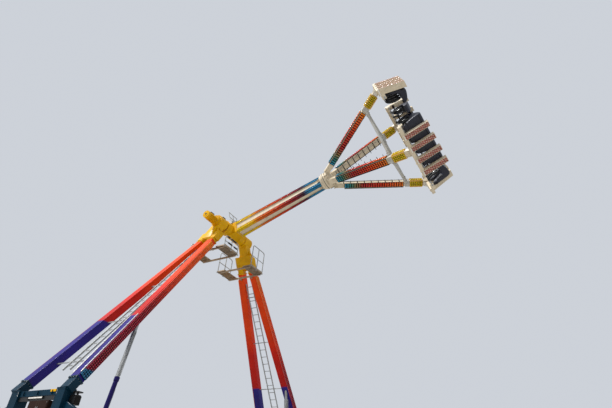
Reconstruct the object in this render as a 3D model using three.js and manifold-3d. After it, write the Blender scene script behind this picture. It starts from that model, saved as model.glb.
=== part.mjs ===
import * as THREE from 'three';
import { mergeVertices } from 'three/addons/utils/BufferGeometryUtils.js';
import Module from 'manifold-3d';

const wasm = await Module();
wasm.setup();

// A fairground pendulum ride, in millimetres. It stands on z = 0, its axle runs along y
// above the origin, and the pendulum swings in the xz plane. Front is +x, left is -y.

const v = (x, y, z) => new THREE.Vector3(x, y, z);
const radians = THREE.MathUtils.degToRad;

// Pendulum and how it stands at rest
const pivotHeight = 11830;
const raisedAngle = 108.42; // degrees from hanging straight down, towards +x
const gondolaTurn = 150.19; // degrees about the pendulum's own axis

// Gaps
const fit = 0.3; // between faces that rest on each other
const running = 6; // between pieces that move past each other

// A-frames, given for the +y side
const leg = { top: v(290, 1550, 10494), foot: v(1030, 6185, 3672), width: 290, depth: 265 };
const tray = { width: 235, depth: 28, start: 0.03, end: 0.965 }; // start and end as shares of the leg
const head = {
  inner: 720, outer: 1200, postInner: 750, postHalf: 215, housingRadius: 290,
  blockHalf: 450, blockInner: 1020, blockTop: 11130, bottom: 10620, boss: 60, bossRadius: 240,
};
const stub = { length: 500, flange: 45, slimmer: 20, wider: 40 };
const serviceDeckSize = { z: 10250, inner: 500, outer: 1450, near: 500, far: 950, plate: 50, bar: 60 };
const guardRail = { radius: 18, sides: 6, inset: 20, endPost: 30 };
const railHeights = { left: 500, right: 1050 };
const ladderSize = { width: 320, from: 0.06, to: 0.94, rungs: 22, rung: 24, railWidth: 30, railDepth: 50 };
const ladderSet = -40; // how far the ladder stands in from the legs' plane, along y
const ladderStays = [0.14, 0.4, 0.66, 0.9];
const strut = { top: v(840, 4600, 5640), foot: v(1000, 5230, 960), rodEnd: 0.33, rodRadius: 58, above: 250 };
const barrel = { radius: 66, gland: 78, glandLength: 120, footX: 110, footY: 130, footHeight: 160 };

// Axle, drum and beam, measured from the axle along the pendulum
const axle = { radius: 120, half: 1150, sides: 24 };
const boreRadius = (axle.radius + fit) / Math.cos(Math.PI / axle.sides) + fit;
const drum = { radius: 300, half: 660, face: 440, wider: 40 };
const beamRoot = 250; // half of the beam's side at the drum
const beamTip = 199; // half of its side at the hub
const beamEnd = 4840;
const cornerTray = 120;
const cornerProud = 12;
const hub = { neck: 300, radius: 330, shoulder: 60, flange: 370, flangeDepth: 70, bottom: 5600, block: 310 };
const ringPlane = 5050;
const raceRadius = 260; // bearing race that carries the gondola
const rootRail = {
  near: 290, plate: 470, plateHalf: 340, plateDepth: 100, out: 1040, mid: 740, half: 310, z: -160,
};
const drive = { flange: 215, flangeDepth: 60, radius: 165, cap: 175, length: 460, capLength: 140, drop: 70 };

// Gondola: arms spread from a point on the pendulum's axis
const armApex = 4652;
const armSpread = 28.62; // degrees from the pendulum's axis
const arm = { start: 700, end: 4860, width: 240, depth: 220, plate: 40 };
const armTray = { from: 1150, to: 3700, proud: 22, sideDepth: 216, sideSet: 2, outerWidth: 270 };
const armYellow = { from: 3960, to: 4520 };
const tie = { at: 3854, radius: 55 };

// Seat rows: t runs along a row, r away from the axis, w down the pendulum
const row = { top: 8765, from: -1072, to: 1040, cheek: 22, cheekHalf: 60 };
const column = { top: 8912, end: 9852, outerTop: 2441, outerEnd: 2233, depth: 240, width: 197, cap: 60 };
const seatPitch = 521;
const firstColumn = -620;
const seat = { first: -880, count: 4, width: 420, above: 90, bars: [9120, 9640], barHalf: 30 };
const restraint = { r: 2060, w: 8930, radius: 25, sides: 16, halfSpacing: 115, padRadius: 38, padSides: 6 };
const restraintBore = (restraint.radius + fit) / Math.cos(Math.PI / restraint.sides);

// Base
const rail = { x: 960, width: 300, low: 450, top: 850, end: 7250, stand: 90, foot: 230, footDepth: 40 };
const railStands = [-6900, -3600, 3600, 6900];
const cross = { half: 140, inset: 40 };
const tower = { y: 6310, column: 330, top: 3420, beam: 120, beamDepth: 150 };
const towerTie = { half: 90, low: 1150, high: 1350 };
const socket = { length: 380, flange: 50, wider: 4, flangeWider: 30, slimmer: 30 };
const shoulder = { top: 3130, out: 620, tip: 2850, under: 2560, low: 1700, half: 60, lap: 40 };
const brace = { size: 150, top: 2500, run: 850, set: 60, foot: 100 };
const pad = { x: 3400, y: 5300, half: 350, depth: 60, leg: 75 };
const outriggerArm = { half: 120, rootDrop: 10, tipDrop: 120 };
const deck = { top: 912, halfX: 3500, halfY: 3300, plate: 60, joist: 40, joistDepth: 110, leg: 60 };
const deckLegX = [3380, 2300];
const stairs = { count: 4, going: 280, half: 800, tread: 50, lap: 40, stringer: 30 };

const paint = {
  steelBlue: [0x1f5f86, 0.5, 0.3],
  yellow: [0xe8b010, 0.45, 0.2],
  orange: [0xe2501c, 0.45, 0.2],
  cream: [0xd8cfb8, 0.5, 0.1],
  grey: [0x8d8f90, 0.55, 0.5],
  darkGrey: [0x4b4a47, 0.6, 0.5],
  purple: [0x3b2f78, 0.45, 0.2],
  navy: [0x1a1c2c, 0.6, 0.0],
  black: [0x151515, 0.7, 0.0],
  timber: [0x8a8378, 0.8, 0.0],
};

// Turn a closed geometry into a solid that can be joined and cut.
function solid(geometry) {
  const plain = geometry.clone();
  plain.deleteAttribute('normal');
  plain.deleteAttribute('uv');
  const merged = mergeVertices(plain, 0.01);
  return new wasm.Manifold(new wasm.Mesh({
    numProp: 3,
    vertProperties: Float32Array.from(merged.attributes.position.array),
    triVerts: Uint32Array.from(merged.index.array),
  }));
}

// Turn a solid back into a geometry.
function geometryOf(body) {
  const mesh = body.getMesh();
  const geometry = new THREE.BufferGeometry();
  geometry.setAttribute('position', new THREE.BufferAttribute(Float32Array.from(mesh.vertProperties), 3));
  geometry.setIndex(new THREE.BufferAttribute(Uint32Array.from(mesh.triVerts), 1));
  geometry.computeVertexNormals();
  return geometry;
}

const join = (geometries) => geometryOf(geometries.map(solid).reduce((all, next) => all.add(next)));
const cutAway = (rest, next) => rest.subtract(next);
const cut = (body, tools) => geometryOf(tools.map(solid).reduce(cutAway, solid(body)));
const overlap = (one, other) => geometryOf(solid(one).intersect(solid(other)));

function box(x0, x1, y0, y1, z0, z1) {
  const geometry = new THREE.BoxGeometry(x1 - x0, y1 - y0, z1 - z0);
  geometry.translate((x0 + x1) / 2, (y0 + y1) / 2, (z0 + z1) / 2);
  return geometry;
}

// The direction nearest to side that is square to along.
function squareTo(along, side) {
  return side.clone().addScaledVector(along, -side.dot(along)).normalize();
}

// A rectangular bar from a to b, with its width lying along side.
function bar(a, b, width, depth, side) {
  const along = b.clone().sub(a);
  const length = along.length();
  along.normalize();
  const across = squareTo(along, side);
  const basis = new THREE.Matrix4();
  basis.makeBasis(across, v(0, 0, 0).crossVectors(along, across), along);
  basis.setPosition(a.clone().add(b).multiplyScalar(0.5));
  return new THREE.BoxGeometry(width, depth, length).applyMatrix4(basis);
}

// A round bar from a to b.
function rod(a, b, radius, sides = 12) {
  const along = b.clone().sub(a);
  const geometry = new THREE.CylinderGeometry(radius, radius, along.length(), sides);
  const turn = new THREE.Quaternion().setFromUnitVectors(v(0, 1, 0), along.normalize());
  geometry.applyQuaternion(turn);
  return geometry.translate(...a.clone().add(b).multiplyScalar(0.5).toArray());
}

// A round bar along y, at height z.
const rodAlongY = (y0, y1, z, radius, sides) => rod(v(0, y0, z), v(0, y1, z), radius, sides);

function outlineShape(points) {
  return new THREE.Shape(points.map(([a, b]) => new THREE.Vector2(a, b)));
}

// An outline in x and z, extruded along y.
function slabAlongY(shape, y0, y1) {
  const geometry = new THREE.ExtrudeGeometry(shape, { depth: y1 - y0, bevelEnabled: false });
  geometry.rotateX(Math.PI / 2);
  return geometry.translate(0, y1, 0);
}

// An outline in y and z, extruded along x.
function slabAlongX(shape, x0, x1) {
  const geometry = new THREE.ExtrudeGeometry(shape, { depth: x1 - x0, bevelEnabled: false });
  geometry.applyMatrix4(new THREE.Matrix4().makeBasis(v(0, 1, 0), v(0, 0, 1), v(1, 0, 0)));
  return geometry.translate(x0, 0, 0);
}

// A profile of radius and height, turned about z.
function turned(profile) {
  const points = profile.reverse().map(([r, z]) => new THREE.Vector2(r, z));
  return new THREE.LatheGeometry(points, 24).rotateX(Math.PI / 2);
}

function mesh(name, geometry, finish) {
  const [color, roughness, metalness] = paint[finish];
  const node = new THREE.Mesh(geometry, new THREE.MeshStandardMaterial({ color, roughness, metalness }));
  node.name = name;
  return node;
}

// A-frame, made for the +y side; the -y side is the same turned half a turn about z.

function legPoint(sx, share) {
  const point = leg.top.clone().lerp(leg.foot, share);
  return v(sx * point.x, point.y, point.z);
}

const legDirection = (sx) => legPoint(sx, 1).sub(legPoint(sx, 0)).normalize();

function legSolid(sx, grow = 0) {
  const side = v(sx, 0, 0);
  const along = legDirection(sx);
  const start = legPoint(sx, 0).addScaledVector(along, -grow);
  const end = legPoint(sx, 1).addScaledVector(along, grow);
  const offset = squareTo(along, side).multiplyScalar((leg.width + tray.depth) / 2 - 1);
  const from = legPoint(sx, tray.start).add(offset).addScaledVector(along, -grow);
  const to = legPoint(sx, tray.end).add(offset).addScaledVector(along, grow);
  return join([
    bar(start, end, leg.width + 2 * grow, leg.depth + 2 * grow, side),
    bar(from, to, tray.depth + 2 + 2 * grow, tray.width + 2 * grow, side),
  ]);
}

// The stub that carries a leg's upper end, with a flange at the joint.
function headStub(sx) {
  const along = legDirection(sx);
  const end = legPoint(sx, 0).addScaledVector(along, -fit);
  const flangeTop = end.clone().addScaledVector(along, -stub.flange);
  const root = end.clone().addScaledVector(along, -stub.length);
  const side = v(sx, 0, 0);
  return [
    bar(root, end, leg.width - stub.slimmer, leg.depth - stub.slimmer, side),
    bar(flangeTop, end, leg.width + stub.wider, leg.depth + stub.wider, side),
  ];
}

// Head: a round bearing housing on a leaning post, which stands on the block that joins the legs.
function headGeometry() {
  const lean = (leg.foot.y - leg.top.y) / (leg.top.z - leg.foot.z);
  const planeY = (z) => leg.top.y - (z - leg.top.z) * lean;
  const half = leg.depth / 2 * Math.hypot(1, lean);
  const skew = half * lean / 2;
  const blockDepth = planeY(head.blockTop) + half;
  const block = outlineShape([
    [planeY(head.bottom) - half, head.bottom], [planeY(head.bottom) + half, head.bottom + skew],
    [blockDepth + 2 * skew, head.blockTop], [head.blockInner, head.blockTop],
  ]);
  const post = outlineShape([
    [planeY(head.bottom) - half, head.bottom + skew], [planeY(head.bottom) + half, head.bottom + 2 * skew],
    [head.outer, pivotHeight - head.postHalf], [head.outer, pivotHeight], [head.postInner, pivotHeight],
  ]);
  const bossEnd = head.outer + head.boss;
  const full = join([
    slabAlongX(block, -head.blockHalf, head.blockHalf),
    slabAlongX(post, -head.postHalf, head.postHalf),
    rodAlongY(head.inner, head.outer, pivotHeight, head.housingRadius, 24),
    rodAlongY(head.outer - 1, bossEnd, pivotHeight, head.bossRadius, 24),
    ...headStub(1), ...headStub(-1),
  ]);
  return cut(full, [rodAlongY(head.inner - 1, axle.half + running, pivotHeight, boreRadius, axle.sides)]);
}

// Service deck: two grated strips on cross bars, with guard rails outside.
function serviceDeck(railHeight) {
  const { z, inner, outer, near, far, plate, bar: barSize } = serviceDeckSize;
  const { radius, sides, inset, endPost } = guardRail;
  const half = barSize / 2;
  const parts = [];
  for (const sx of [-1, 1]) {
    parts.push(box(Math.min(sx * near, sx * far), Math.max(sx * near, sx * far), inner, outer, z, z + plate));
    const x = sx * (far - inset);
    for (const y of [inner + endPost, (inner + outer) / 2, outer - endPost]) {
      parts.push(rod(v(x, y, z + inset), v(x, y, z + railHeight - radius / 2), radius, sides));
    }
    for (const railZ of [z + railHeight / 2, z + railHeight]) {
      const over = endPost - radius;
      parts.push(rod(v(x, inner + over, railZ), v(x, outer - over, railZ), radius, sides));
    }
    const stayX = sx * leg.top.x;
    const stayEnd = leg.top.y + leg.depth;
    parts.push(box(stayX - half, stayX + half, outer - 2 * barSize, stayEnd, z - barSize, z + 10));
  }
  for (const y of [inner + barSize, outer - barSize]) {
    parts.push(box(-far + barSize, far - barSize, y - half, y + half, z - barSize, z + 10));
  }
  return cut(join(parts), [legSolid(1, fit), legSolid(-1, fit)]);
}

// Ladder between the legs, tied to them by stays.
function ladder() {
  const { width, from, to, rungs, rung, railWidth, railDepth } = ladderSize;
  const parts = [];
  const at = (share, x = 0) => legPoint(1, share).setX(x).add(v(0, ladderSet, 0));
  for (const x of [-width / 2, width / 2]) {
    parts.push(bar(at(from, x), at(to, x), railWidth, railDepth, v(1, 0, 0)));
  }
  for (let i = 0; i < rungs; i += 1) {
    const share = from + (to - from) * (i + 0.5) / rungs;
    parts.push(bar(at(share, -width / 2), at(share, width / 2), rung, rung, v(0, 1, 0)));
  }
  for (const share of ladderStays) {
    const { x } = legPoint(1, share);
    parts.push(bar(at(share, -x), at(share, x), railWidth, railWidth, v(0, 1, 0)));
  }
  return cut(join(parts), [legSolid(1, fit), legSolid(-1, fit)]);
}

// Foot tower: two columns with shoulder plates on the base rails, a top beam, and a socket under each leg.
function towerSolid() {
  const parts = [];
  const half = tower.column / 2;
  for (const sx of [-1, 1]) {
    const x = sx * rail.x;
    const side = v(sx, 0, 0);
    const along = legDirection(sx);
    const start = legPoint(sx, 1).addScaledVector(along, fit);
    const socketEnd = start.clone().addScaledVector(along, socket.length);
    const flangeEnd = start.clone().addScaledVector(along, socket.flange);
    parts.push(box(x - half, x + half, tower.y - half, tower.y + half, rail.top + fit, tower.top));
    parts.push(bar(start, socketEnd, leg.width + socket.wider, leg.depth - socket.slimmer, side));
    parts.push(bar(start, flangeEnd, leg.width + socket.flangeWider, leg.depth + socket.flangeWider, side));
    parts.push(bar(v(x, tower.y - brace.set, brace.top), v(x, tower.y - brace.run, rail.top - brace.foot),
      brace.size, brace.size, v(1, 0, 0)));
    const edge = rail.x + half;
    const outline = [
      [edge - shoulder.lap, shoulder.top], [edge + shoulder.out, shoulder.tip],
      [edge + shoulder.out, shoulder.under], [edge - shoulder.lap, shoulder.low],
    ];
    parts.push(slabAlongY(outlineShape(outline.map(([across, z]) => [sx * across, z])),
      tower.y - shoulder.half, tower.y + shoulder.half));
  }
  const beamTop = tower.top - 20;
  for (const [tieHalf, low, high] of [[tower.beam, beamTop - tower.beamDepth, beamTop],
    [towerTie.half, towerTie.low, towerTie.high]]) {
    parts.push(box(-rail.x, rail.x, tower.y - tieHalf, tower.y + tieHalf, low, high));
  }
  return join(parts);
}

const strutPoint = (sx, share) => {
  const point = strut.top.clone().lerp(strut.foot, share);
  return v(sx * point.x, point.y, point.z);
};
const strutDirection = (sx) => strutPoint(sx, 1).sub(strutPoint(sx, 0)).normalize();

function strutRod(sx) {
  const upper = strutPoint(sx, 0).addScaledVector(strutDirection(sx), -strut.above);
  return rod(upper, strutPoint(sx, strut.rodEnd), strut.rodRadius, 12);
}

function strutBarrel(sx) {
  const along = strutDirection(sx);
  const foot = strutPoint(sx, 1);
  const upper = strutPoint(sx, strut.rodEnd).addScaledVector(along, fit);
  const glandEnd = upper.clone().addScaledVector(along, barrel.glandLength);
  return join([
    rod(upper, foot, barrel.radius, 16),
    rod(upper, glandEnd, barrel.gland, 16),
    box(foot.x - barrel.footX, foot.x + barrel.footX, foot.y - barrel.footY, foot.y + barrel.footY,
      rail.top + fit, rail.top + barrel.footHeight),
  ]);
}

function buildAFrame(sideName, turn) {
  const group = new THREE.Group();
  group.rotation.z = turn;
  const facing = turn === 0 ? 1 : -1;
  group.add(mesh(`${sideName}_head`, headGeometry(), 'yellow'));
  for (const [legName, worldX] of [['front', 1], ['rear', -1]]) {
    group.add(mesh(`${sideName}_${legName}_leg`, legSolid(worldX * facing), 'orange'));
  }
  group.add(mesh(`${sideName}_service_deck`, serviceDeck(railHeights[sideName]), 'darkGrey'));
  group.add(mesh(`${sideName}_ladder`, ladder(), 'grey'));
  const towerCut = cut(towerSolid(), [railSolid(1, fit), railSolid(-1, fit), crossSolid(tower.y, fit)]);
  group.add(mesh(`${sideName}_tower`, towerCut, 'steelBlue'));
  group.add(mesh(`${sideName}_strut_rod`, cut(strutRod(facing), [legSolid(facing, fit)]), 'grey'));
  group.add(mesh(`${sideName}_strut_barrel`, strutBarrel(facing), 'purple'));
  return group;
}

// Base: two long rails on stands, cross beams, outriggers and boarding decks.

function railSolid(sx, grow = 0) {
  const x = sx * rail.x;
  const half = rail.width / 2 + grow;
  const parts = [box(x - half, x + half, -rail.end - grow, rail.end + grow, rail.low - grow, rail.top + grow)];
  for (const y of railStands) {
    parts.push(box(x - rail.stand, x + rail.stand, y - rail.stand, y + rail.stand,
      rail.footDepth / 2, rail.low + 20));
    parts.push(box(x - rail.foot, x + rail.foot, y - rail.foot, y + rail.foot, 0, rail.footDepth));
  }
  return join(parts);
}

const crossHalf = rail.x - rail.width / 2 - fit;
const crossLow = rail.low + cross.inset;
const crossHigh = rail.top - cross.inset;

function crossSolid(y, grow = 0) {
  return box(-crossHalf - grow, crossHalf + grow, y - cross.half - grow, y + cross.half + grow,
    crossLow - grow, crossHigh + grow);
}

// The middle cross beam stands on a foot of its own.
function centreCross() {
  const footHalf = 300;
  const legHalf = 110;
  const beamHalf = 200;
  return join([
    box(-crossHalf, crossHalf, -beamHalf, beamHalf, crossLow, crossHigh),
    box(-legHalf, legHalf, -legHalf, legHalf, rail.footDepth / 2, crossLow + 20),
    box(-footHalf, footHalf, -footHalf, footHalf, 0, rail.footDepth),
  ]);
}

function outrigger(sx, sy) {
  const inner = rail.x + rail.width / 2 + fit;
  const tip = pad.x + outriggerArm.half;
  const arms = slabAlongY(outlineShape([
    [inner, rail.low + outriggerArm.rootDrop], [tip, rail.low + outriggerArm.tipDrop],
    [tip, rail.top - outriggerArm.tipDrop], [inner, rail.top - outriggerArm.rootDrop],
  ]), -outriggerArm.half, outriggerArm.half);
  const jack = rod(v(pad.x, 0, pad.depth / 2), v(pad.x, 0, rail.top + pad.depth), pad.leg, 16);
  const plate = box(pad.x - pad.half, pad.x + pad.half, -pad.half, pad.half, 0, pad.depth);
  const geometry = join([arms, jack, plate]);
  if (sx < 0) geometry.rotateZ(Math.PI);
  return geometry.translate(0, sy * pad.y, 0);
}

function deckPanel(x0, x1, legXs) {
  const parts = [box(x0, x1, -deck.halfY, deck.halfY, deck.top - deck.plate, deck.top)];
  const low = deck.top - deck.plate - deck.joistDepth;
  const edge = deck.halfY - deck.leg;
  for (const y of [-edge, -deck.halfY / 3, deck.halfY / 3, edge]) {
    parts.push(box(x0, x1, y - deck.joist, y + deck.joist, low, deck.top - deck.plate / 2));
    for (const x of legXs) {
      parts.push(box(x - deck.leg, x + deck.leg, y - deck.leg, y + deck.leg, 0, low + deck.joist));
    }
  }
  return join(parts);
}

function middleDeck() {
  const half = rail.x + rail.width / 2;
  return box(-half, half, -deck.halfY, deck.halfY, rail.top + fit, deck.top);
}

// Steps up to the front deck: treads between two side plates.
function steps() {
  const { count, going, half, tread, lap, stringer } = stairs;
  const parts = [];
  const rise = deck.top / (count + 1);
  const x0 = deck.halfX + fit;
  for (let i = 1; i <= count; i += 1) {
    const z = deck.top - i * rise;
    parts.push(box(x0 + (i - 1) * going, x0 + i * going + lap, -half, half, z - tread, z));
  }
  const end = x0 + count * going + lap;
  const outline = outlineShape([
    [x0, deck.top - 20], [x0, deck.top - 2.5 * rise], [end - going - lap, 0], [end + 60, 0], [end + 60, rise],
  ]);
  for (const y of [-half, half]) {
    parts.push(slabAlongY(outline, y - stringer, y + stringer));
  }
  return join(parts);
}

// Pendulum, made hanging: the beam points down -z from the axle at the group's origin.

const rootHalf = beamRoot + drum.wider;

function axleDrum() {
  return join([
    rodAlongY(-axle.half, axle.half, 0, axle.radius, axle.sides),
    rodAlongY(-drum.half, drum.half, 0, drum.radius, 24),
    box(-rootHalf, rootHalf, -rootHalf, rootHalf, -drum.face, 0),
  ]);
}

function beam() {
  const top = -drum.face - fit;
  const bottom = -beamEnd;
  const core = new THREE.CylinderGeometry(beamRoot * Math.SQRT2, beamTip * Math.SQRT2, top - bottom, 4);
  core.rotateY(Math.PI / 4);
  core.rotateX(Math.PI / 2);
  core.translate(0, 0, (top + bottom) / 2);
  const parts = [core];
  const inset = cornerTray / 2 - cornerProud;
  for (const sx of [-1, 1]) {
    for (const sy of [-1, 1]) {
      const a = v(sx * (beamRoot - inset), sy * (beamRoot - inset), top);
      const b = v(sx * (beamTip - inset), sy * (beamTip - inset), bottom);
      parts.push(bar(a, b, cornerTray, cornerTray, v(1, 0, 0)));
    }
  }
  const reach = beamRoot + cornerTray;
  return overlap(join(parts), box(-reach, reach, -reach, reach, bottom, top));
}

function fixedHub() {
  const top = -beamEnd - fit;
  const flange = -ringPlane + running + hub.flangeDepth;
  return turned([[0, top], [hub.neck, top], [hub.radius, top - hub.shoulder], [hub.radius, flange],
    [hub.flange, flange], [hub.flange, -ringPlane + running], [raceRadius, -ringPlane + running],
    [raceRadius, -ringPlane + fit], [0, -ringPlane + fit]]);
}

// Light guard rail on the pendulum's root.
function rootGuardRail() {
  const { near, plate, plateHalf, out, mid, half, z, plateDepth } = rootRail;
  const { radius, sides } = guardRail;
  const parts = [box(near, plate, -plateHalf, plateHalf, z - plateDepth, z + plateDepth)];
  for (const y of [-half, 0, half]) {
    parts.push(rod(v(plate - radius, y, z), v(out, y, z), radius, sides));
  }
  for (const x of [mid, out]) {
    parts.push(rod(v(x, -half - radius, z), v(x, half + radius, z), radius, sides));
  }
  const rootFace = rootHalf + fit;
  return cut(join(parts), [rodAlongY(-drum.half, drum.half, 0, drum.radius + fit, 24),
    box(-rootFace, rootFace, -drum.half, drum.half, -drum.face, 0)]);
}

// Gondola side frame: x is t, y is r, z is -w.
const armDirection = v(0, Math.sin(radians(armSpread)), -Math.cos(radians(armSpread)));
const armPoint = (s) => v(0, 0, -armApex).addScaledVector(armDirection, s);
const armOutward = v(0, Math.cos(radians(armSpread)), Math.sin(radians(armSpread)));

function armSolid(grow = 0) {
  const side = v(1, 0, 0);
  const piece = (from, to, width, depth, shift = 0) => bar(
    armPoint(from - grow).addScaledVector(armOutward, shift),
    armPoint(to + grow).addScaledVector(armOutward, shift),
    width + 2 * grow, depth + 2 * grow, side);
  const { proud, sideDepth, sideSet, outerWidth } = armTray;
  const trayed = arm.width + 2 * proud;
  return join([
    piece(arm.start, arm.end, arm.width, arm.depth),
    piece(arm.start, arm.start + arm.plate, arm.width + 60, arm.depth + 50, -10),
    piece(armTray.from, armTray.to, trayed, sideDepth, sideSet),
    piece(armTray.from, armTray.to, outerWidth, proud, arm.depth / 2 + proud / 2 - 1),
    piece(armYellow.from, armYellow.to, trayed, arm.depth + 2 * proud),
  ]);
}

// The turning half of the hub: a flange and a square block, cut flat where each arm's root plate is bolted on.
function slewingHub() {
  const top = -ringPlane;
  const low = top - hub.flangeDepth;
  const half = hub.block;
  const body = join([
    turned([[0, top], [hub.flange, top], [hub.flange, low], [0, low]]),
    box(-half, half, -half, half, -hub.bottom, low + 1),
  ]);
  const cutters = [];
  for (let k = 0; k < 4; k += 1) {
    const keepOut = bar(armPoint(arm.start - fit), armPoint(arm.end), hub.bottom, hub.bottom, v(1, 0, 0));
    keepOut.rotateZ(-k * Math.PI / 2);
    cutters.push(keepOut);
  }
  return cut(body, cutters);
}

function tieBar() {
  const here = armPoint(tie.at);
  const next = here.clone().applyAxisAngle(v(0, 0, 1), -Math.PI / 2);
  const nextArm = armSolid(fit).clone().rotateZ(-Math.PI / 2);
  return cut(rod(here, next, tie.radius, 12), [armSolid(fit), nextArm]);
}

const columnSlope = (column.outerTop - column.outerEnd) / (column.end - column.top);
const innerFace = (w) => column.outerTop - column.depth - columnSlope * (w - column.top);
const rowInner = column.outerTop - column.depth - 10;

// Head beam, columns with their light faces, and cheeks for the restraints' tube.
function rowFrame() {
  const { r, w } = restraint;
  const parts = [box(row.from, row.to, rowInner, column.outerTop, -column.top + 10, -row.top)];
  const outline = outlineShape([
    [innerFace(column.end), -column.end], [column.outerEnd, -column.end],
    [column.outerTop, -column.top], [column.outerTop, -column.top + column.cap],
    [innerFace(column.top), -column.top + column.cap], [innerFace(column.top), -column.top],
  ]);
  for (let i = 0; i < seat.count; i += 1) {
    const centre = firstColumn + i * seatPitch;
    parts.push(slabAlongX(outline, centre - column.width / 2, centre + column.width / 2));
  }
  for (const t0 of [row.from, row.to - row.cheek]) {
    parts.push(box(t0, t0 + row.cheek, r - row.cheekHalf, rowInner + row.cheekHalf,
      -w - row.cheekHalf, -row.top - row.cheekHalf));
  }
  const bore = rod(v(row.from - 1, r, -w), v(row.to + 1, r, -w), restraintBore, restraint.sides);
  return cut(join(parts), [bore]);
}

// Seat shells, joined by the two bars that carry them on the columns.
function seatRow() {
  const top = column.top + seat.above;
  const backAt = 9550;
  const lowest = 9790;
  const shell = outlineShape([
    [innerFace(top) - fit, -top], [innerFace(top) - 95, -top], [innerFace(backAt) - 110, -backAt + 10],
    [1500, -9505], [1460, -9560], [1490, -9650], [1830, -lowest], [innerFace(lowest) - fit, -lowest],
  ]);
  const half = seat.barHalf;
  const parts = [];
  for (let i = 0; i < seat.count; i += 1) {
    const centre = seat.first + i * seatPitch;
    parts.push(slabAlongX(shell, centre - seat.width / 2, centre + seat.width / 2));
  }
  for (const w of seat.bars) {
    const outer = innerFace(w + half) - fit;
    parts.push(box(seat.first - 150, row.to - 20, outer - 2 * half, outer, -w - half, -w + half));
  }
  return join(parts);
}

// One shoulder restraint for each seat, all on one tube.
function restraintRow() {
  const { r, w, radius, sides, halfSpacing, padRadius, padSides } = restraint;
  const parts = [rod(v(row.from + 4, r, -w), v(row.to - 4, r, -w), radius, sides)];
  const corners = Array.from({ length: padSides }, (_, i) => i * 2 * Math.PI / padSides);
  const section = outlineShape(corners.map((turn) => [padRadius * Math.cos(turn), padRadius * Math.sin(turn)]));
  const side = [[r, w], [1935, 8885], [1800, 8920], [1715, 9080], [1690, 9300]];
  const bottom = [1690, 9420];
  const bottomHalf = halfSpacing * 0.55;
  for (let i = 0; i < seat.count; i += 1) {
    const c = seat.first + i * seatPitch;
    const points = [
      ...side.map(([sideR, sideW]) => v(c - halfSpacing, sideR, -sideW)),
      v(c - bottomHalf, bottom[0], -bottom[1]),
      v(c + bottomHalf, bottom[0], -bottom[1]),
      ...[...side].reverse().map(([sideR, sideW]) => v(c + halfSpacing, sideR, -sideW)),
    ];
    const path = new THREE.CatmullRomCurve3(points, false, 'centripetal');
    parts.push(new THREE.ExtrudeGeometry(section, { steps: 14, extrudePath: path, bevelEnabled: false }));
  }
  return join(parts);
}

// Gear motor on the left head: a flange on the bearing boss, then the motor's body and its end cap.
function driveMotor() {
  const { flange, flangeDepth, radius, cap, length, capLength, drop } = drive;
  const start = -head.outer - head.boss - fit;
  const bodyEnd = start - flangeDepth - length;
  const motorZ = pivotHeight - drop;
  return join([
    rodAlongY(start - flangeDepth, start, pivotHeight, flange, 24),
    rodAlongY(bodyEnd, start - flangeDepth + 1, motorZ, radius, 16),
    rodAlongY(bodyEnd - capLength, bodyEnd + 1, motorZ, cap, 16),
  ]);
}

// Assembly

const ride = new THREE.Group();

for (const [name, sx] of [['front', 1], ['rear', -1]]) {
  ride.add(mesh(`${name}_base_rail`, railSolid(sx), 'steelBlue'));
}
ride.add(mesh('left_cross_beam', crossSolid(-tower.y), 'steelBlue'));
ride.add(mesh('centre_cross_beam', centreCross(), 'steelBlue'));
ride.add(mesh('right_cross_beam', crossSolid(tower.y), 'steelBlue'));
for (const [xName, sx] of [['front', 1], ['rear', -1]]) {
  for (const [yName, sy] of [['left', -1], ['right', 1]]) {
    ride.add(mesh(`${xName}_${yName}_outrigger`, outrigger(sx, sy), 'steelBlue'));
  }
}
const panelInner = rail.x + rail.width / 2 + fit;
ride.add(mesh('front_deck', deckPanel(panelInner, deck.halfX, deckLegX), 'timber'));
ride.add(mesh('rear_deck', deckPanel(-deck.halfX, -panelInner, deckLegX.map((x) => -x)), 'timber'));
ride.add(mesh('middle_deck', middleDeck(), 'timber'));
ride.add(mesh('front_steps', steps(), 'timber'));

ride.add(buildAFrame('left', Math.PI));
ride.add(buildAFrame('right', 0));
ride.add(mesh('swing_drive', driveMotor(), 'yellow'));

const swing = new THREE.Group();
swing.position.z = pivotHeight;
swing.rotation.y = -radians(raisedAngle);
swing.add(mesh('axle_drum', axleDrum(), 'yellow'));
swing.add(mesh('pendulum_beam', beam(), 'cream'));
swing.add(mesh('fixed_hub', fixedHub(), 'cream'));
swing.add(mesh('root_guard_rail', rootGuardRail(), 'grey'));

const gondola = new THREE.Group();
gondola.rotation.z = -radians(gondolaTurn);
gondola.add(mesh('slewing_hub', slewingHub(), 'cream'));
const beamForArm = box(row.from - 5, row.to + 5, rowInner - fit, column.outerTop + column.depth,
  -column.end, -row.top + fit);
for (let k = 0; k < 4; k += 1) {
  const side = new THREE.Group();
  side.rotation.z = -k * Math.PI / 2;
  side.add(mesh(`arm_${k + 1}`, cut(armSolid(), [beamForArm]), 'cream'));
  side.add(mesh(`tie_bar_${k + 1}`, tieBar(), 'grey'));
  side.add(mesh(`row_frame_${k + 1}`, rowFrame(), 'cream'));
  side.add(mesh(`seat_row_${k + 1}`, seatRow(), 'navy'));
  side.add(mesh(`restraints_${k + 1}`, restraintRow(), 'black'));
  gondola.add(side);
}
swing.add(gondola);
ride.add(swing);

export default ride;
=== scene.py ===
import math
from itertools import product

import bmesh
import bpy
import numpy as np
from mathutils import Matrix, Vector


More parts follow.
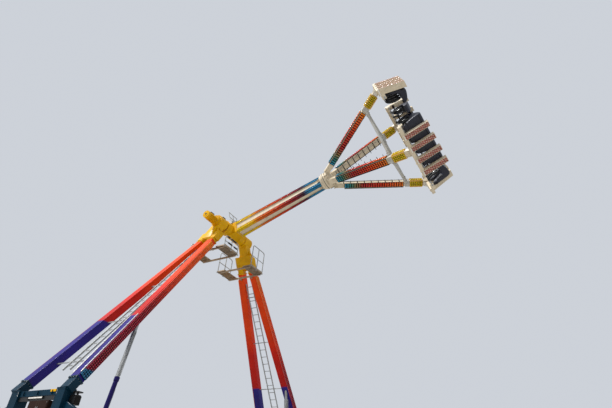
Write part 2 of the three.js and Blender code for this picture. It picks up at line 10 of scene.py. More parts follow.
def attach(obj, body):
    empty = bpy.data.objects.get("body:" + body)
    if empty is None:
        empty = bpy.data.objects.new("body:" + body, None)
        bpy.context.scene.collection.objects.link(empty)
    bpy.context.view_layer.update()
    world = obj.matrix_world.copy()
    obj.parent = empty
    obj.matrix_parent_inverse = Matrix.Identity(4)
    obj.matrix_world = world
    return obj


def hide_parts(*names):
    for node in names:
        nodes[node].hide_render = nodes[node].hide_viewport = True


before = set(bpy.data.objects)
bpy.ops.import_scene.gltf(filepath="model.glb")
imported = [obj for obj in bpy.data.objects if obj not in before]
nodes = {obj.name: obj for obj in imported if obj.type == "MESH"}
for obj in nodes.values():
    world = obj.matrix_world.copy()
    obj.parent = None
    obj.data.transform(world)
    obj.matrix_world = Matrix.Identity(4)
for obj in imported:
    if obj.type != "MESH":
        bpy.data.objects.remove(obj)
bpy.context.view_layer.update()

# Fairground pendulum ride. Metres, +Z up, the axle lies along Y above the origin.
ride = {
    "axleHeight": 11.83,
    "raised": math.radians(108.42),       # from hanging straight down, towards +X
    "gondolaTurn": math.radians(150.19),  # about the pendulum's own axis
}
xAxis, yAxis, zAxis = Vector((1, 0, 0)), Vector((0, 1, 0)), Vector((0, 0, 1))
worldFrame = Matrix.Identity(4)
swingFrame = Matrix.Translation((0, 0, ride["axleHeight"])) @ Matrix.Rotation(-ride["raised"], 4, "Y")
aFrames = {"left": Matrix.Rotation(math.pi, 4, "Z"), "right": worldFrame}


# In a side's frame x runs along its seat row, y away from the pendulum's axis, -z down the pendulum.
def sideFrame(side):
    return swingFrame @ Matrix.Rotation(-ride["gondolaTurn"] - side * math.pi / 2, 4, "Z")


# Materials

def toLinear(hexColour):
    channels = [int(hexColour[i:i + 2], 16) / 255 for i in (0, 2, 4)]
    return (*[c / 12.92 if c <= 0.04045 else ((c + 0.055) / 1.055) ** 2.4 for c in channels], 1.0)


# An input is a number, a vector, a colour's hex or another node's output.
def setInputs(tree, node, inputs):
    for key, value in inputs.items():
        if isinstance(value, bpy.types.NodeSocket):
            tree.links.new(value, node.inputs[key])
        else:
            node.inputs[key].default_value = toLinear(value) if isinstance(value, str) else value


# Adds a node and gives one of its outputs. Stops are a ramp's places, each with its hex or its grey.
def addNode(tree, kind, inputs, output=0, stops=(), **settings):
    node = tree.nodes.new("ShaderNode" + kind)
    for key, value in settings.items():
        setattr(node, key, value)
    setInputs(tree, node, inputs)
    if stops:
        elements = node.color_ramp.elements
        while len(elements) < len(stops):
            elements.new(0.5)
        for element, (place, colour) in zip(elements, stops):
            element.position = place
            element.color = toLinear(colour) if isinstance(colour, str) else (colour, colour, colour, 1)
    return node.outputs[output]


def startMaterial(name):
    material = bpy.data.materials.new(name)
    material.use_nodes = True
    return material, material.node_tree, addNode(material.node_tree, "TexCoord", {}, "Object")


def finishMaterial(material, inputs):
    setInputs(material.node_tree, material.node_tree.nodes["Principled BSDF"], inputs)
    return material


# Cloudy unevenness of a real size in millimetres, and what it runs through from its low to its high spots.
def mottle(tree, coords, size, stops=(), detail=3, stretch=(1, 1, 1)):
    mapped = addNode(tree, "Mapping", {"Vector": coords, "Scale": stretch})
    cloud = addNode(tree, "TexNoise", {
        "Vector": mapped, "Scale": 1000 / size, "Detail": detail, "Roughness": 0.6})
    return addNode(tree, "ValToRGB", {"Fac": cloud}, stops=stops) if stops else cloud


# A second colour that lies in the mottle's high spots; a Mix takes its share at 0 and its colours at 6 and 7.
def stained(tree, coords, under, over, size, stops, detail=3, stretch=(1, 1, 1)):
    share = mottle(tree, coords, size, stops, detail, stretch)
    return addNode(tree, "Mix", {0: share, 6: under, 7: over}, 2, data_type="RGBA")


# The mottle as a bump, with its depth in metres.
def unevenSkin(tree, coords, size, detail, strength, depth):
    height = mottle(tree, coords, size, (), detail)
    return addNode(tree, "Bump", {"Height": height, "Strength": strength, "Distance": depth})


# One hex all over, or stops from the start to the end of a line, both points of the object at rest.
def paintColour(tree, coords, colour, line):
    if line is None:
        return colour
    start, run = line[0], line[1] - line[0]
    offset = addNode(tree, "VectorMath", {0: coords, 1: start}, operation="SUBTRACT")
    share = addNode(tree, "VectorMath", {0: offset, 1: run / run.length_squared}, "Value",
                    operation="DOT_PRODUCT")
    return addNode(tree, "ValToRGB", {"Fac": share}, stops=colour)


# Enamel on steel: sprayed gloss paint with a slight orange peel, weathered by rain streaks and road dirt.
def enamelledSteel(name, colour, line=None, roughness=0.36, dirt=0.5, dirtColour="4a4034"):
    material, tree, coords = startMaterial(name)
    patches = mottle(tree, coords, 650, [(0.3, "e4e0da"), (0.7, "ffffff")])
    paint = addNode(tree, "Mix", {0: 0.8, 6: paintColour(tree, coords, colour, line), 7: patches}, 2,
                    data_type="RGBA", blend_type="MULTIPLY")
    paint = stained(tree, coords, paint, dirtColour, 130, [(0.52, 0.0), (0.78, dirt)], 4, (1, 1, 0.09))
    paint = stained(tree, coords, paint, dirtColour, 22, [(0.66, 0.0), (0.76, dirt * 0.9)], 5)
    return finishMaterial(material, {
        "Base Color": paint,
        "Roughness": mottle(tree, coords, 90, [(0.3, roughness - 0.07), (0.75, roughness + 0.16)], 4),
        "Normal": unevenSkin(tree, coords, 9, 2, 0.12, 0.002),  # orange peel, drawn coarse
        "Specular IOR Level": 0.1, "Coat Weight": 0.03, "Coat Roughness": 0.15})


# Hot-dip zinc: a crystal spangle about 20 mm across, dull grey, metallic.
def galvanisedSteel(name, light, dark, roughness):
    material, tree, coords = startMaterial(name)
    spangle = addNode(tree, "TexVoronoi", {"Vector": coords, "Scale": 1000 / 20}, "Color")
    colour = addNode(tree, "ValToRGB", {"Fac": spangle}, stops=[(0.1, dark), (0.9, light)])
    gloss = [(0.0, roughness - 0.1), (1.0, roughness + 0.12)]
    return finishMaterial(material, {
        "Base Color": stained(tree, coords, colour, "5d564b", 240, [(0.5, 0.0), (0.75, 0.55)], 4),
        "Roughness": addNode(tree, "ValToRGB", {"Fac": spangle}, stops=gloss),
        "Normal": unevenSkin(tree, coords, 12, 3, 0.15, 0.002), "Metallic": 0.75})


# Ribbed lamp caps: glossy tinted polycarbonate, sun-faded a little from cap to cap, 70 mm apart.
def lampCap(name, colour, line=None):
    material, tree, coords = startMaterial(name)
    cell = addNode(tree, "VectorMath", {0: coords, 1: (0.07, 0.07, 0.07)}, operation="SNAP")
    fade = addNode(tree, "TexWhiteNoise", {"Vector": cell})
    faded = addNode(tree, "ValToRGB", {"Fac": fade}, stops=[(0.0, "c9c5c2"), (1.0, "ffffff")])
    return finishMaterial(material, {
        "Base Color": addNode(tree, "Mix", {0: 0.7, 6: paintColour(tree, coords, colour, line), 7: faded}, 2,
                              data_type="RGBA", blend_type="MULTIPLY"),
        "Normal": unevenSkin(tree, coords, 14, 1, 0.25, 0.003),  # the caps' facets
        "Roughness": 0.22, "IOR": 1.58, "Coat Weight": 0.08})


# Moulded shells of glass-fibre: satin gel coat with fine pits and scuffs.
def gelCoat(name, colour, scuff):
    material, tree, coords = startMaterial(name)
    return finishMaterial(material, {
        "Base Color": stained(tree, coords, colour, scuff, 45, [(0.55, 0.0), (0.8, 0.6)], 5, (1, 1, 0.4)),
        "Roughness": mottle(tree, coords, 60, [(0.3, 0.32), (0.8, 0.55)]),
        "Normal": unevenSkin(tree, coords, 5, 2, 0.15, 0.001)})


# Foam under a rubber skin: matt, grained like leather at 6 mm, shiny where it is rubbed.
def rubberSkin(name, colour, worn):
    material, tree, coords = startMaterial(name)
    rub = mottle(tree, coords, 110, [(0.45, 0.0), (0.7, 0.7)])
    grain = addNode(tree, "TexVoronoi", {"Vector": coords, "Scale": 1000 / 6}, "Distance",
                    feature="DISTANCE_TO_EDGE")
    return finishMaterial(material, {
        "Base Color": addNode(tree, "Mix", {0: rub, 6: colour, 7: worn}, 2, data_type="RGBA"),
        "Roughness": addNode(tree, "ValToRGB", {"Fac": rub}, stops=[(0.0, 0.72), (0.7, 0.45)]),
        "Normal": addNode(tree, "Bump", {"Height": grain, "Strength": 0.35, "Distance": 0.002})})


# Rolled aluminium tread plate: raised lozenges every 34 mm, turned alternately, with dirt between them.
def treadPlate(name):
    material, tree, coords = startMaterial(name)
    perMetre = 1000 / 34
    waves = []
    for turn in (45, -45):
        mapped = addNode(tree, "Mapping", {"Vector": coords, "Rotation": (0, 0, math.radians(turn))})
        waves.append(addNode(tree, "TexWave", {"Vector": mapped, "Scale": perMetre / math.pi}))
    chequer = addNode(tree, "TexChecker", {"Vector": coords, "Scale": perMetre}, "Fac")
    raised = addNode(tree, "Mix", {0: chequer, 6: waves[0], 7: waves[1]}, 2, data_type="RGBA")
    return finishMaterial(material, {
        "Base Color": addNode(tree, "Mix", {0: raised, 6: "5f5a52", 7: "a19d96"}, 2, data_type="RGBA"),
        "Normal": addNode(tree, "Bump", {"Height": raised, "Strength": 0.6, "Distance": 0.003}),
        "Metallic": 0.7, "Roughness": 0.48})


# Shapes: each piece gathers points and faces in a frame of its own and is placed when it is finished.

def newPiece():
    return {"points": [], "faces": [], "finishes": []}


def addShape(piece, points, faces, finish=0):
    base = len(piece["points"])
    piece["points"].extend(tuple(p) for p in points)
    piece["faces"].extend(tuple(base + i for i in face) for face in faces)
    piece["finishes"].extend([finish] * len(faces))


def addBar(piece, start, end, width, depth, side=xAxis, finish=0):
    start, end = Vector(start), Vector(end)
    along = (end - start).normalized()
    across = (side - along * side.dot(along)).normalized()
    up = along.cross(across)
    corners = []
    for place in (start, end):
        for a, b in ((-1, -1), (1, -1), (1, 1), (-1, 1)):
            corners.append(place + across * (a * width / 2) + up * (b * depth / 2))
    addShape(piece, corners, ringFaces(2, 4), finish)


def addBox(piece, low, high, finish=0):
    middle, size = (Vector(low) + Vector(high)) / 2, Vector(high) - Vector(low)
    addBar(piece, middle - zAxis * size.z / 2, middle + zAxis * size.z / 2, size.x, size.y, xAxis, finish)


# Faces between rings of equal size, and over the first and the last ring of a row that doesn't close.
def ringFaces(count, size, closed=False):
    faces = []
    for i in range(count if closed else count - 1):
        a, b = i * size, (i + 1) % count * size
        faces += [(a + j, a + (j + 1) % size, b + (j + 1) % size, b + j) for j in range(size)]
    if not closed:
        faces += [tuple(reversed(range(size))), tuple(range((count - 1) * size, count * size))]
    return faces


# Rings of points joined into one closed skin.
def addLoft(piece, rings, finish=0, closed=False):
    addShape(piece, [p for ring in rings for p in ring], ringFaces(len(rings), len(rings[0]), closed), finish)


# A round tube along a list of points; radius is one number or one for each point.
def addTube(piece, path, radius, sides=8, finish=0, closed=False):
    path = [Vector(p) for p in path]
    count = len(path)
    radii = radius if isinstance(radius, list) else [radius] * count
    rings = []
    normal = None
    for i, place in enumerate(path):
        before = path[i - 1] if i or closed else place
        after = path[(i + 1) % count] if i < count - 1 or closed else place
        along = (after - before).normalized()
        normal = normal or along.orthogonal()
        normal = (normal - along * normal.dot(along)).normalized()
        other = along.cross(normal)
        turns = [2 * math.pi * j / sides for j in range(sides)]
        rings.append([place + (normal * math.cos(turn) + other * math.sin(turn)) * radii[i]
                      for turn in turns])
    addLoft(piece, rings, finish, closed)


def addPlug(piece, start, end, radius, sides=12, finish=0):
    addTube(piece, [start, end], radius, sides, finish)


# A flat plate: an outline of points, thickened along a vector.
def addPlate(piece, outline, thickness, finish=0):
    outline, half = [Vector(p) for p in outline], Vector(thickness) / 2
    addLoft(piece, [[p - half for p in outline], [p + half for p in outline]], finish)


# A smooth path through every point.
def smoothPath(points, steps=4):
    points = [Vector(p) for p in points]
    path = []
    for i in range(len(points) - 1):
        before, start = points[max(i - 1, 0)], points[i]
        end, after = points[i + 1], points[min(i + 2, len(points) - 1)]
        bend = 2 * before - 5 * start + 4 * end - after
        twist = 3 * start - before - 3 * end + after
        for j in range(steps):
            t = j / steps
            path.append(0.5 * (2 * start + (end - before) * t + bend * t ** 2 + twist * t ** 3))
    return path + [points[-1]]


# Straight runs with rounded corners between them.
def roundedPath(points, radius, steps=4):
    points = [Vector(p) for p in points]
    path = [points[0]]
    for before, corner, after in zip(points, points[1:], points[2:]):
        inward = (before - corner).normalized() * radius
        outward = (after - corner).normalized() * radius
        for t in np.linspace(0, 1, steps + 1):
            path.append(corner + inward * (1 - t) ** 2 + outward * t ** 2)
    return path + [points[-1]]


# A hexagon head on a washer.
def addBolt(piece, place, normal, size, finish=0):
    place, normal = Vector(place), Vector(normal).normalized()
    addPlug(piece, place - normal * 0.004, place + normal * size * 0.12, size * 0.95, 12, finish)
    addTube(piece, [place, place + normal * size * 0.5, place + normal * size * 0.62],
            [size * 0.62, size * 0.62, size * 0.5], 6, finish)


def addBoltRing(piece, centre, normal, radius, count, size, finish=0):
    centre, normal = Vector(centre), Vector(normal).normalized()
    first = normal.orthogonal().normalized()
    second = normal.cross(first)
    for i in range(count):
        turn = 2 * math.pi * (i + 0.5) / count
        place = centre + (first * math.cos(turn) + second * math.sin(turn)) * radius
        addBolt(piece, place, normal, size, finish)


# Domed lamp caps on collars, as shares of their radius, and the rimmed boards that they stand on
lamp = {
    "sides": 8, "profile": [(1.18, 0.0), (1.18, 0.12), (1.0, 0.0), (1.0, 0.25), (0.82, 0.62), (0.45, 0.9)],
    "board": 0.010, "rimWide": 0.009, "rimHigh": 0.026,
}


def lampShape():
    sides = lamp["sides"]
    turns = [2 * math.pi * j / sides for j in range(sides)]
    points = [(r * math.cos(turn), r * math.sin(turn), height) for r, height in lamp["profile"]
              for turn in turns]
    faces = ringFaces(len(lamp["profile"]), sides)
    top = faces.pop()
    faces += [(top[j], top[(j + 1) % sides], len(points)) for j in range(sides)]
    return np.array(points + [(0, 0, 1.0)]), faces


# Lamps in columns across and rows along. Two finishes alternate as a chequer.
def addLamps(piece, origin, along, up, length, width, rows, columns, radius, finishes):
    across = along.cross(up)
    points, faces = lampShape()
    turned = points * radius @ np.array([list(across), list(along), list(up)])
    for i, j in product(range(rows), range(columns)):
        place = origin + along * (length * (i + 0.5) / rows) + across * (width * ((j + 0.5) / columns - 0.5))
        addShape(piece, (turned + np.array(place)).tolist(), faces, finishes[(i + j) % len(finishes)])


# A board with a rim round it and lamps in rows on it. It stands on the face that start and end lie on.
def addLampBoard(piece, start, end, up, width, pitch, columns, radius, finishes=(0,), board=1, rim=2):
    along = (end - start).normalized()
    across = along.cross(up)
    length = (end - start).length
    thick, rimWide, rimHigh = lamp["board"], lamp["rimWide"], lamp["rimHigh"]
    lift = up * rimHigh / 2
    addBar(piece, start + up * thick / 2, end + up * thick / 2, thick, width - rimWide, up, board)
    for edge in (-1, 1):
        offset = across * (edge * (width - rimWide) / 2) + lift
        addBar(piece, start + offset, end + offset, rimHigh, rimWide, up, rim)
    for place in (start + along * rimWide / 2 + lift, end - along * rimWide / 2 + lift):
        side = across * (width / 2 - rimWide)
        addBar(piece, place - side, place + side, rimHigh, rimWide, up, rim)
    addLamps(piece, start + up * thick, along, up, length, width - 3 * rimWide, round(length / pitch),
             columns, radius, finishes)


def addObject(name, data):
    obj = bpy.data.objects.new(name, data)
    bpy.context.scene.collection.objects.link(obj)
    return obj


def makeObject(name, piece, materials, place):
    mesh = bpy.data.meshes.new(name)
    matrix = np.array(place)
    points = np.array(piece["points"], float) @ matrix[:3, :3].T + matrix[:3, 3]
    mesh.from_pydata(points.tolist(), [], piece["faces"])
    for material in materials:
        mesh.materials.append(material)
    mesh.polygons.foreach_set("material_index", piece["finishes"])
    shape = bmesh.new()
    shape.from_mesh(mesh)
    bmesh.ops.recalc_face_normals(shape, faces=shape.faces)
    shape.to_mesh(mesh)
    shape.free()
    return addObject(name, mesh)


# Smooth is the angle, in degrees, past which an edge stays sharp.
def finishPiece(name, piece, materials, body, place=worldFrame, bevel=0, subdivide=0, stands=(),
                smooth=40):
    obj = makeObject(name, piece, materials, place)
    obj.data.polygons.foreach_set("use_smooth", [True] * len(obj.data.polygons))
    obj.data.set_sharp_from_angle(angle=math.radians(smooth))
    if bevel:
        roundEdges(obj, bevel)
    if subdivide:
        obj.modifiers.new("smoothShape", "SUBSURF").levels = subdivide
        obj.modifiers["smoothShape"].render_levels = subdivide
    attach(obj, body)
    if stands:
        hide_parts(*stands)
    return obj


def roundEdges(obj, width):
    edges = obj.modifiers.new("roundEdges", "BEVEL")
    edges.width = width
    edges.segments = 2
    edges.limit_method = "ANGLE"
    edges.angle_limit = math.radians(50)
    edges.harden_normals = False


def finishNode(name, material, bevel=0.0):
    obj = nodes[name]
    obj.data.materials.clear()
    obj.data.materials.append(material)
    if bevel:
        corners = obj.modifiers.new("joinCorners", "WELD")
        corners.merge_threshold = 0.0002
        roundEdges(obj, bevel)


# Finishes

cream = enamelledSteel("creamEnamel", "e2d4ba", dirt=0.3, dirtColour="6a5e4c")
white = enamelledSteel("whiteEnamel", "f4f1e8", dirt=0.3)
paleGrey = enamelledSteel("paleGreyEnamel", "c4c3bc", dirt=0.4)
yellow = enamelledSteel("yellowEnamel", "e8b008", dirt=0.3, dirtColour="8a5a08")
darkEnamel = enamelledSteel("blackEnamel", "1c1a19", roughness=0.5)
brownEnamel = enamelledSteel("brownEnamel", "2e1a12", roughness=0.5)
blueEnamel = enamelledSteel("blueEnamel", "052d40", dirtColour="06141c")
purpleEnamel = enamelledSteel("purpleEnamel", "221a5e", dirt=0.3, dirtColour="100e28")
zinc = galvanisedSteel("galvanisedSteel", "bcbdbb", "8f9190", 0.52)
dullZinc = galvanisedSteel("galvanisedGrating", "c2ae94", "94826c", 0.66)
boltZinc = galvanisedSteel("zincPlatedBolts", "c8c9c6", "97999a", 0.38)
blackRubber = rubberSkin("blackRubberSkin", "0d0e10", "1e2024")
shellCoat = gelCoat("navyGelCoat", "0e1226", "262e4c")
vinyl = rubberSkin("blackVinyl", "101116", "26282e")
plate = treadPlate("aluminiumTreadPlate")
glassWhite = lampCap("whiteLampCap", "f6f0e6")
print("finishes made")


# Legs: lamp trays down their outer sides, bolts at both ends, and light tubes low on the front ones

leg = {
    "top": Vector((0.290, 1.550, 10.494)), "foot": Vector((1.030, 6.185, 3.672)), "width": 0.290,
    "depth": 0.265, "trayWidth": 0.235, "trayDepth": 0.028, "trayFrom": 0.03, "trayTo": 0.965,
    "boardTo": 0.992, "lampPitch": 0.072, "lampRadius": 0.026, "tubeFrom": 0.665, "tubeTo": 0.985,
    "tubeRadius": 0.015, "clips": 7, "boltPitch": 0.085, "boltSize": 0.014,
    # share of the leg, way out along it, distance that way, how far outside the leg's sides the bolts stand
    "flanges": ((0, -1, 0.047, 0.0012), (1, 1, 0.052, -0.0012)),
}
legLine = (zAxis * leg["top"].z, zAxis * leg["foot"].z)
legEnamel = enamelledSteel("legEnamel", [
    (0.0, "f04c08"), (0.36, "e63e08"), (0.47, "cc2010"), (0.655, "bc1c18"), (0.658, "2c2480"),
    (1.0, "281f72"),
], legLine, dirt=0.25, dirtColour="5a1c10")
trayCaps = lampCap("legLampCap", [
    (0.0, "fca018"), (0.12, "fc6a10"), (0.42, "f44a0e"), (0.52, "d02416"), (0.7, "b41234"), (0.955, "a00e2e"),
    (0.96, "14709c"), (1.0, "126890"),
], legLine)
trayBoard = enamelledSteel("legLampBoard", [
    (0.0, "e0600e"), (0.4, "c02c0a"), (0.62, "3c0812"), (0.955, "2c0610"), (0.96, "08222f"),
], legLine, roughness=0.5)


# A place along a leg or a strut, from 0 at its top to 1 at its foot.
def alongMember(member, sx, share):
    point = member["top"].lerp(member["foot"], share)
    return Vector((sx * point.x, point.y, point.z))


# Along the leg, out through its lamp tray, and up through its upper face.
def legAxes(sx):
    along = (alongMember(leg, sx, 1) - alongMember(leg, sx, 0)).normalized()
    out = (xAxis * sx - along * along.x * sx).normalized()
    up = along.cross(out)
    return along, out, up if up.z > 0 else -up


def buildLegLamps(sideName, legName, sx):
    piece = newPiece()
    out = legAxes(sx)[1]
    tray, end = leg["trayDepth"], alongMember(leg, sx, leg["boardTo"])
    face, middle = out * (leg["width"] / 2 + tray), out * (leg["width"] / 2 + tray / 2)
    addLampBoard(piece, alongMember(leg, sx, leg["trayFrom"]) + face, end + face, out, leg["trayWidth"],
                 leg["lampPitch"], 3, leg["lampRadius"], rim=0)
    addBar(piece, alongMember(leg, sx, leg["trayTo"] - 0.001) + middle, end + middle, tray, leg["trayWidth"],
           out, 1)
    finishPiece(f"{sideName}_{legName}_leg_lamps", piece, [trayCaps, trayBoard], "frame",
                aFrames[sideName])


def buildLegTubes(sideName, legName, sx):
    piece = newPiece()
    along, out, up = legAxes(sx)
    radius = leg["tubeRadius"]
    for outward in (-1, 1):
        corner = out * (outward * leg["width"] / 2) + up * (leg["depth"] / 2 + radius * 0.6)
        start, end = (alongMember(leg, sx, leg[key]) + corner for key in ("tubeFrom", "tubeTo"))
        addPlug(piece, start, end, radius, 8)
        for i in range(leg["clips"]):
            place = start.lerp(end, (i + 0.5) / leg["clips"])
            addPlug(piece, place - along * 0.02, place + along * 0.02, radius * 1.5, 8, 1)
    finishPiece(f"{sideName}_{legName}_leg_light_tubes", piece, [glassWhite, zinc], "frame",
                aFrames[sideName])


def buildLegBolts(sideName, legName, sx):
    piece = newPiece()
    along, out, up = legAxes(sx)
    for share, sign, reach, proud in leg["flanges"]:
        middle = alongMember(leg, sx, share) + along * (sign * reach)
        for edge, i in product((-1, 1), range(4)):
            offset = (i - 1.5) * leg["boltPitch"]
            for a, b, half in ((out, up, leg["width"] / 2), (up, out, leg["depth"] / 2)):
                addBolt(piece, middle + a * (edge * (half + proud)) + b * offset, along * sign,
                        leg["boltSize"])
    finishPiece(f"{sideName}_{legName}_leg_bolts", piece, [boltZinc], "frame",
                aFrames[sideName])


for sideName in aFrames:
    facing = 1 if sideName == "right" else -1
    for legName, worldX in (("front", 1), ("rear", -1)):
        buildLegLamps(sideName, legName, worldX * facing)
        if legName == "front":
            buildLegTubes(sideName, legName, worldX * facing)
        buildLegBolts(sideName, legName, worldX * facing)
        finishNode(f"{sideName}_{legName}_leg", legEnamel, 0.003)
print("legs dressed")


# Heads: bolted bearing housings, gusset ribs and small fittings

head = {
    "inner": 0.720, "innerBolts": 0.255, "outer": 1.200, "outerBolts": 0.266, "bolts": 14, "boltSize": 0.017,
    "seal": 0.175, "sealTube": 0.014, "postHalf": 0.215, "blockHalf": 0.450, "blockTop": 11.130,
    "gussetReach": 0.19, "gussetThick": 0.022,
    # y at the post, at the rib's toe and at its tip, then its height below and above the block's top
    "gussets": ((1.16, 1.20, 1.12, -0.01, 0.34), (1.34, 1.36, 1.28, -0.03, 0.30)),
}
drive = {"flange": -1.320, "flangeBolts": 0.193, "fins": -1.375, "finCount": 11, "finPitch": 0.036,
         "finThick": 0.010, "finRadius": 0.182, "end": -1.920, "endBolts": 0.150, "drop": 0.07}
blackHousing = gelCoat("blackHousing", "121212", "2a2a2a")


def buildHeadFittings(sideName):
    piece = newPiece()
    axle, top, inner = ride["axleHeight"], head["blockTop"], head["inner"]
    for y, radius, normal in ((inner, head["innerBolts"], -yAxis),
                              (head["outer"], head["outerBolts"], yAxis)):
        addBoltRing(piece, (0, y, axle), normal, radius, head["bolts"], head["boltSize"], 1)
    seal = [(math.cos(t) * head["seal"], inner - 0.008, axle + math.sin(t) * head["seal"])
            for t in np.linspace(0, 2 * math.pi, 25)[:-1]]
    addTube(piece, seal, head["sealTube"], 8, 0, True)
    for sx, (root, toe, tip, low, high) in product((-1, 1), head["gussets"]):
        x = sx * head["postHalf"]
        outline = [(x, root, top + low), (x + sx * head["gussetReach"], toe, top + low), (x, tip, top + high)]
        addPlate(piece, outline, yAxis * head["gussetThick"])
    for sx, share in product((-1, 1), np.linspace(0, 1, 5)):
        addBolt(piece, (sx * (head["blockHalf"] - 0.05), 1.05 + 0.235 * share, top - 0.06 - 0.42 * share),
                (0, -0.87, -0.49), 0.016, 1)
    addBox(piece, (-0.14, inner + 0.06, axle + 0.262), (0.03, inner + 0.26, axle + 0.315), 2)
    finishPiece(f"{sideName}_head_fittings", piece, [yellow, boltZinc, blackHousing], "frame",
                aFrames[sideName], 0.003)


# Cooling fins, end cap and plug of the drive, its bolts and its terminal box.
def buildDriveFittings():
    piece = newPiece()
    z, end = ride["axleHeight"] - drive["drop"], drive["end"]
    discs = [(drive["fins"] - i * drive["finPitch"], drive["finThick"], drive["finRadius"], 24, 0)
             for i in range(drive["finCount"])]
    discs += [(end + 0.002, 0.014, 0.105, 20, 0), (end - 0.010, 0.008, 0.045, 16, 2)]
    for y, thick, radius, sides, finish in discs:
        addPlug(piece, (0, y, z), (0, y - thick, z), radius, sides, finish)
    addBoltRing(piece, (0, drive["flange"], ride["axleHeight"]), -yAxis, drive["flangeBolts"], 12, 0.013, 1)
    addBoltRing(piece, (0, end, z), -yAxis, drive["endBolts"], 8, 0.010, 1)
    addBox(piece, (-0.09, end + 0.20, z + 0.155), (0.09, end + 0.42, z + 0.215), 2)
    finishPiece("swing_drive_fittings", piece, [yellow, boltZinc, blackHousing], "frame",
                worldFrame, 0.002)


for sideName in aFrames:
    buildHeadFittings(sideName)
    finishNode(f"{sideName}_head", yellow, 0.010)
buildDriveFittings()
finishNode("swing_drive", yellow, 0.008)
print("heads dressed")


# Service decks: bar grating in angle frames, toe boards, and guard rails bent from tube

service = {
    "z": 10.25, "inner": 0.5, "outer": 1.45, "near": 0.5, "far": 0.95, "plate": 0.05, "edge": 0.008,
    "bar": 0.06, "barPitch": 0.03, "barWide": 0.004, "barDeep": 0.032, "rodPitch": 0.095, "rod": 0.006,
    "toeHeight": 0.1, "tube": 0.020, "sleeve": 0.034, "stayEnd": 1.575,
    "railHeight": {"left": 0.5, "right": 1.05},
    # height above the deck, then from and to along the rail
    "sleeves": ((0.25, 0.60, 0.80), (0.25, 0.95, 1.20), (0.5, 0.70, 1.05), (0.5, 1.15, 1.30)),
}


def addGrating(piece, sx):
    inner, outer, near, far = (service[key] for key in ("inner", "outer", "near", "far"))
    deep, edge = service["plate"], service["edge"]
    middle, top = service["z"] + deep / 2, service["z"] + deep
    for x in (near + edge / 2, far - edge / 2):
        addBar(piece, (sx * x, inner, middle), (sx * x, outer, middle), edge, deep)
    for y in (inner + edge / 2, outer - edge / 2):
        addBar(piece, (sx * near, y, middle), (sx * far, y, middle), edge, deep, yAxis)
    wide, barDeep, rod = service["barWide"], service["barDeep"], service["rod"]
    barZ, rodZ = top - 0.018, top - 0.005
    for x in np.linspace(near, far, int((far - near) / service["barPitch"]) + 1)[1:-1]:
        addBar(piece, (sx * x, inner, barZ), (sx * x, outer, barZ), wide, barDeep)
    for y in np.linspace(inner, outer, int((outer - inner) / service["rodPitch"]) + 1)[1:-1]:
        addBar(piece, (sx * near, y, rodZ), (sx * far, y, rodZ), rod, rod, yAxis)


def addDeckGuard(piece, sx, height):
    z, inset, tube, toe = service["z"], 0.03, service["tube"], service["toeHeight"]
    x = sx * (service["far"] - 0.02)
    inner, outer = service["inner"] + inset, service["outer"] - inset
    middle = (inner + outer) / 2
    rail = roundedPath([(x, inner, z), (x, inner, z + height), (x, outer, z + height), (x, outer, z)],
                       0.12, 5)
    addTube(piece, rail, tube, 10, 1)
    addPlug(piece, (x, inner, z + height / 2), (x, outer, z + height / 2), tube * 0.8, 10, 1)
    addPlug(piece, (x, middle, z), (x, middle, z + height), tube, 10, 1)
    addBar(piece, (x, inner, z + toe / 2), (x, outer, z + toe / 2), 0.004, toe)
    for y in (inner, middle, outer):
        addBar(piece, (x - 0.05, y, z - 0.004), (x + 0.018, y, z - 0.004), 0.012, 0.09, zAxis, 1)
        addBolt(piece, (x - 0.03, y + 0.03, z - 0.010), -zAxis, 0.011, 2)


def buildServiceDeck(sideName):
    piece = newPiece()
    z, bar, reach = service["z"], service["bar"], service["far"] - service["bar"]
    for sx in (-1, 1):
        addGrating(piece, sx)
        addDeckGuard(piece, sx, service["railHeight"][sideName])
        stay = sx * leg["top"].x
        addBar(piece, (stay, service["outer"] - 2 * bar, z - 0.025), (stay, service["stayEnd"], z - 0.025),
               bar, 0.07)
    # flanges and webs of the cross bars
    for y in (service["inner"] + bar, service["outer"] - bar):
        for drop, deep, wide in ((0.055, 0.010, bar), (0.005, 0.010, bar), (0.03, 0.050, 0.010)):
            addBar(piece, (-reach, y, z - drop), (reach, y, z - drop), deep, wide, zAxis)
    finishPiece(f"{sideName}_service_deck_grating", piece, [dullZinc, zinc, boltZinc], "frame",
                aFrames[sideName], stands=[f"{sideName}_service_deck"])


# Rubber sleeves on the near deck's guard rails.
def buildRailSleeves():
    piece = newPiece()
    x = -service["far"] + 0.02
    for height, start, end in service["sleeves"]:
        z = service["z"] + height
        addPlug(piece, (x, start, z), (x, end, z), service["sleeve"], 12)
    finishPiece("left_service_deck_sleeves", piece, [blackRubber], "frame", aFrames["left"],
                0.006)


for sideName in aFrames:
    buildServiceDeck(sideName)
buildRailSleeves()
print("service decks built")


# Ladders, towers, struts and base

tower = {
    "y": 6.31, "x": 0.96, "half": 0.165, "top": 3.42, "railTop": 0.85, "beamHalf": 0.12, "beamLow": 3.25,
    "beamHigh": 3.40, "ribsX": (-0.6, 0, 0.6), "boltsZ": (1.16, 1.25, 1.34, 3.28, 3.325, 3.37),
    "footBolt": 0.020, "sideBolt": 0.015,
}
